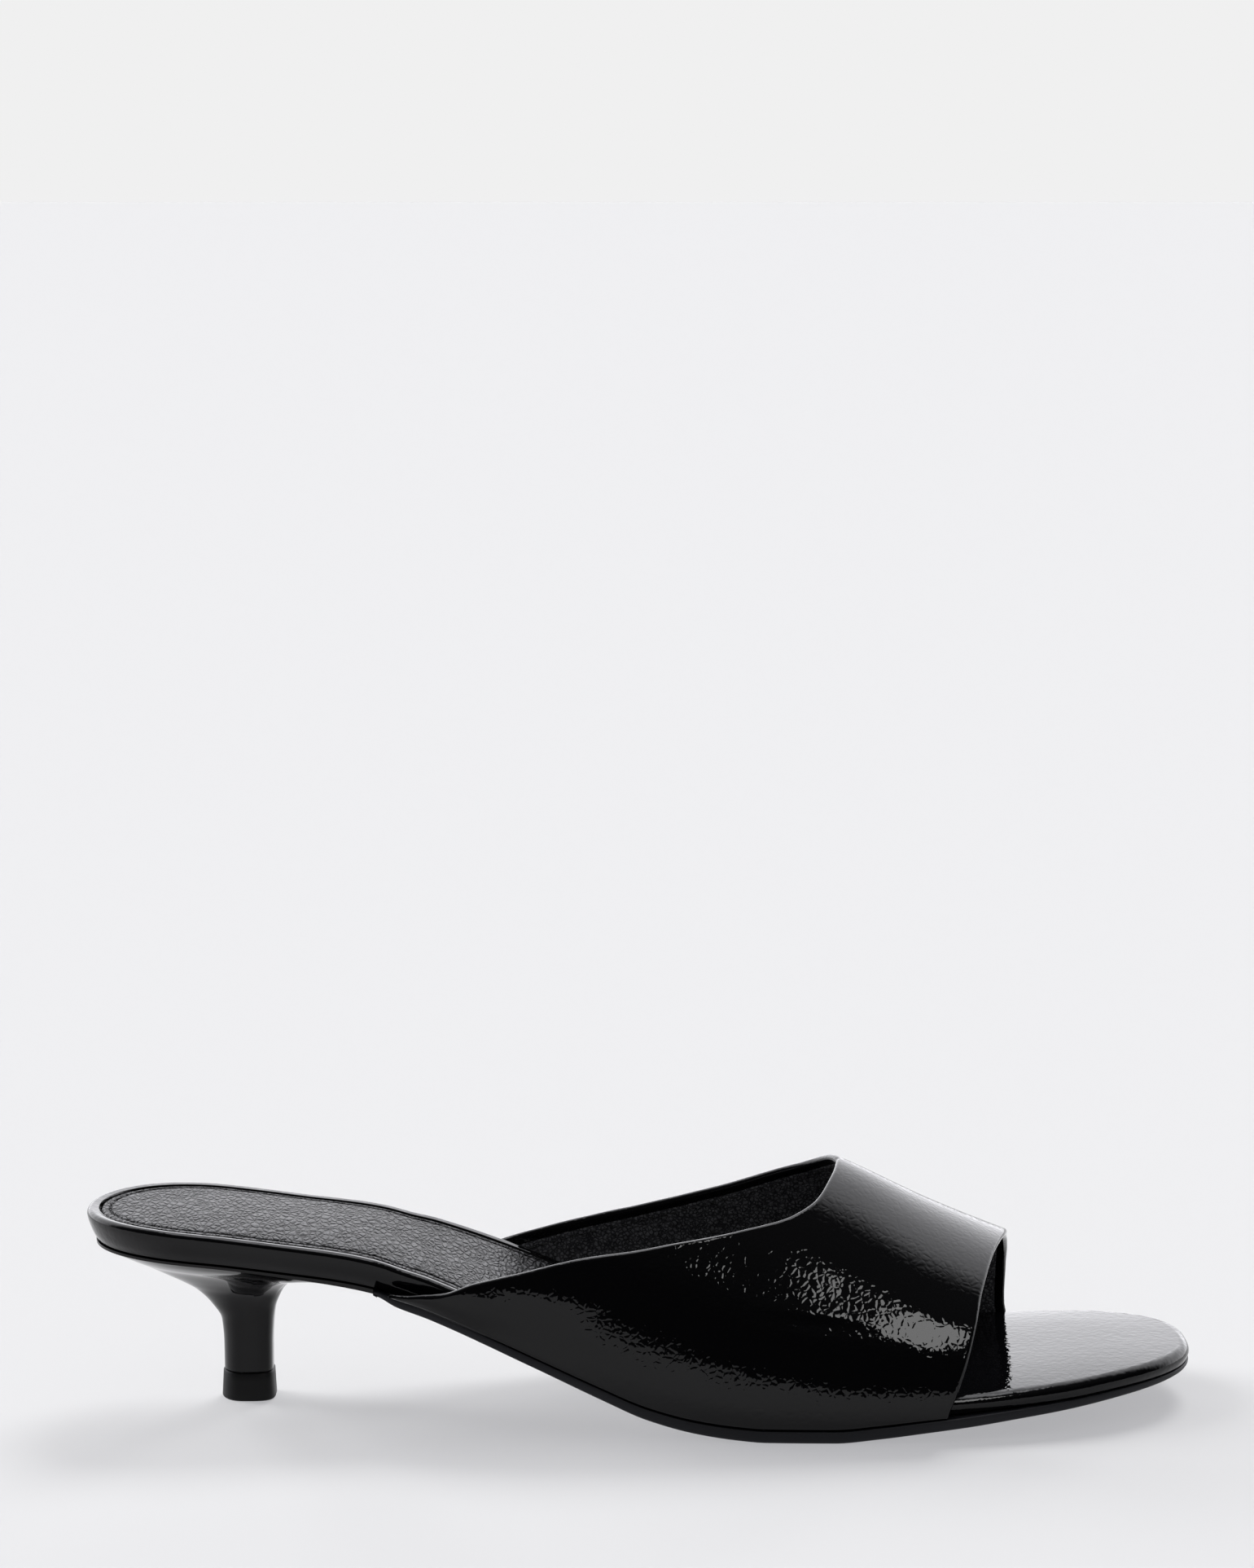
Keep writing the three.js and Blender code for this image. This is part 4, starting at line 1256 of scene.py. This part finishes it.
world = bpy.data.worlds.new("studio")
bpy.context.scene.world = world
world.use_nodes = True
sky = world.node_tree
sky.nodes.clear()
direction = add(sky, "ShaderNodeTexCoord").outputs["Generated"]
parts = add(sky, "ShaderNodeSeparateXYZ", {"Vector": direction}).outputs


def studio_light(name, layers):
    """Adds up glows that rise along a direction, each as (share, low, high, glow at low, glow at high)."""
    level = None
    for share, low, high, from_glow, to_glow in layers:
        sockets = {"From Min": low, "From Max": high, "To Min": from_glow, "To Max": to_glow}
        glow = add(sky, "ShaderNodeMapRange", {"Value": share}, sockets,
                   interpolation_type="SMOOTHSTEP").outputs["Result"]
        if level:
            glow = add(sky, "ShaderNodeMath", {0: level, 1: glow}, operation="ADD").outputs["Value"]
        level = glow
    return add(sky, "ShaderNodeBackground", {"Strength": level}, {"Color": LAMP_WHITE},
               label=name).outputs["Background"]


overhead = math.cos(OVERHEAD_HALF)
for_gloss = studio_light("wall and overhead", [
    (parts["Y"], -0.06, 0.38, 0.0, WALL_GLOW),
    (parts["Z"], 0.3, 0.9, ROOM_GLOW, 4 * ROOM_GLOW),
    (parts["Z"], overhead - 0.01, overhead + 0.01, 0.0, OVERHEAD_GLOW),
])
for_paper = add(sky, "ShaderNodeBackground", sockets={"Color": LAMP_WHITE, "Strength": DOME_GLOW})
for_camera = add(sky, "ShaderNodeBackground", sockets={"Color": linear("#f0f0f0"), "Strength": 1.0})
ray = add(sky, "ShaderNodeLightPath").outputs
lit = add(sky, "ShaderNodeMixShader", {
    "Fac": ray["Is Glossy Ray"],
    1: for_paper.outputs["Background"],
    2: for_gloss,
})
mixed = add(sky, "ShaderNodeMixShader", {
    "Fac": ray["Is Camera Ray"],
    1: lit.outputs["Shader"],
    2: for_camera.outputs["Background"],
})
add(sky, "ShaderNodeOutputWorld", {"Surface": mixed.outputs["Shader"]})

# %% [markdown]
# The paper's light comes from behind the shoe, from large soft lamps at different heights. The low ones
# reach under the arch and keep it light, the high one makes the small dark shadow under the ball and the
# toe. They are suns, which light the paper alike everywhere, each with a soft edge as wide as its size in
# the sky. Gloss doesn't see them.

# %% Suns
SUN_LIGHT = 6.1
SUNS = (
    # name, turn, rise and size in degrees, share of the light on the paper
    ("key", 160, 45, 24, 0.42),
    ("side", 242, 28, 40, 0.35),
    ("low_right", 150, 7, 16, 0.07),
    ("low_middle", 200, 7, 16, 0.07),
    ("low_left", 250, 7, 16, 0.08),
)
for name, turn, rise, size, share in SUNS:
    sun = bpy.data.lights.new(name, "SUN")
    sun.angle = math.radians(size)
    sun.energy = SUN_LIGHT * share / math.sin(math.radians(rise))
    sun_object = placed(name, sun)
    sun_object.rotation_euler = (math.radians(90 - rise), 0, math.radians(turn))
    sun_object.visible_glossy = False
print(len(SUNS), "suns light the paper")

# %% [markdown]
# The softbox is a narrow strip, close to the shoe and turned askew. It is a lamp, because its reflection
# has to shift along the vamp as a near light's does. It adds to reflections only, so the paper stays
# even.

# %% Softbox
SOFTBOX_TURN = math.radians(26)
SOFTBOX_RISE = math.radians(40)
SOFTBOX_ROLL = math.radians(48)
SOFTBOX_DISTANCE = 0.38
SOFTBOX_SIZE = (0.17, 0.075)
SOFTBOX_GLOW = 7.0
SOFTBOX_AIM = Vector((0.045, -0.02, 0.03))

towards = Vector((
    math.sin(SOFTBOX_TURN) * math.cos(SOFTBOX_RISE),
    -math.cos(SOFTBOX_TURN) * math.cos(SOFTBOX_RISE),
    math.sin(SOFTBOX_RISE),
))
across = Vector((0, 0, 1)).cross(towards).normalized()
strip = towards.cross(across) * math.sin(SOFTBOX_ROLL) + across * math.cos(SOFTBOX_ROLL)
light = bpy.data.lights.new("front_softbox", "AREA")
light.shape = "RECTANGLE"
light.size, light.size_y = SOFTBOX_SIZE
light.energy = SOFTBOX_GLOW * math.pi * SOFTBOX_SIZE[0] * SOFTBOX_SIZE[1]
lamp = placed("front_softbox", light)
turned = Matrix((strip, towards.cross(strip), towards)).transposed().to_4x4()
lamp.matrix_world = Matrix.Translation(SOFTBOX_AIM + towards * SOFTBOX_DISTANCE) @ turned
lamp.visible_camera = False
lamp.visible_diffuse = False

# %% [markdown]
# ## Camera
# The photograph looks along the shoe's width from a little above, from close by. The camera has no roll,
# no shift and no depth of field, and its focal length is worked out from the picture's 1540 by 1925
# pixels.

# %% Camera
FOCAL_PIXELS = 5371.5
PICTURE_LONG_SIDE = 1925
SENSOR = 36.0
CAMERA_PLACE = (-0.00303, -0.964, 0.27275)
CAMERA_PITCH = 7.833
camera_data = bpy.data.cameras.new("camera")
camera_data.sensor_width = SENSOR
camera_data.sensor_fit = "AUTO"
camera_data.lens = FOCAL_PIXELS / PICTURE_LONG_SIDE * SENSOR
camera_data.clip_start, camera_data.clip_end = 0.05, 100
camera = placed("camera", camera_data)
camera.location = CAMERA_PLACE
camera.rotation_euler = (math.radians(90 - CAMERA_PITCH), 0, 0)
bpy.context.scene.camera = camera
bpy.context.scene.view_settings.view_transform = "Standard"

# %% Sizes and the last line
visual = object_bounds()
boxes = {"cad": cad_box, "visual": visual}
{name: [list(corner) for corner in box] for name, box in boxes.items()}
print("CAD box:", [tuple(round(v, 4) for v in corner) for corner in cad_box])
print("visual box:", [tuple(round(v, 4) for v in corner) for corner in visual])
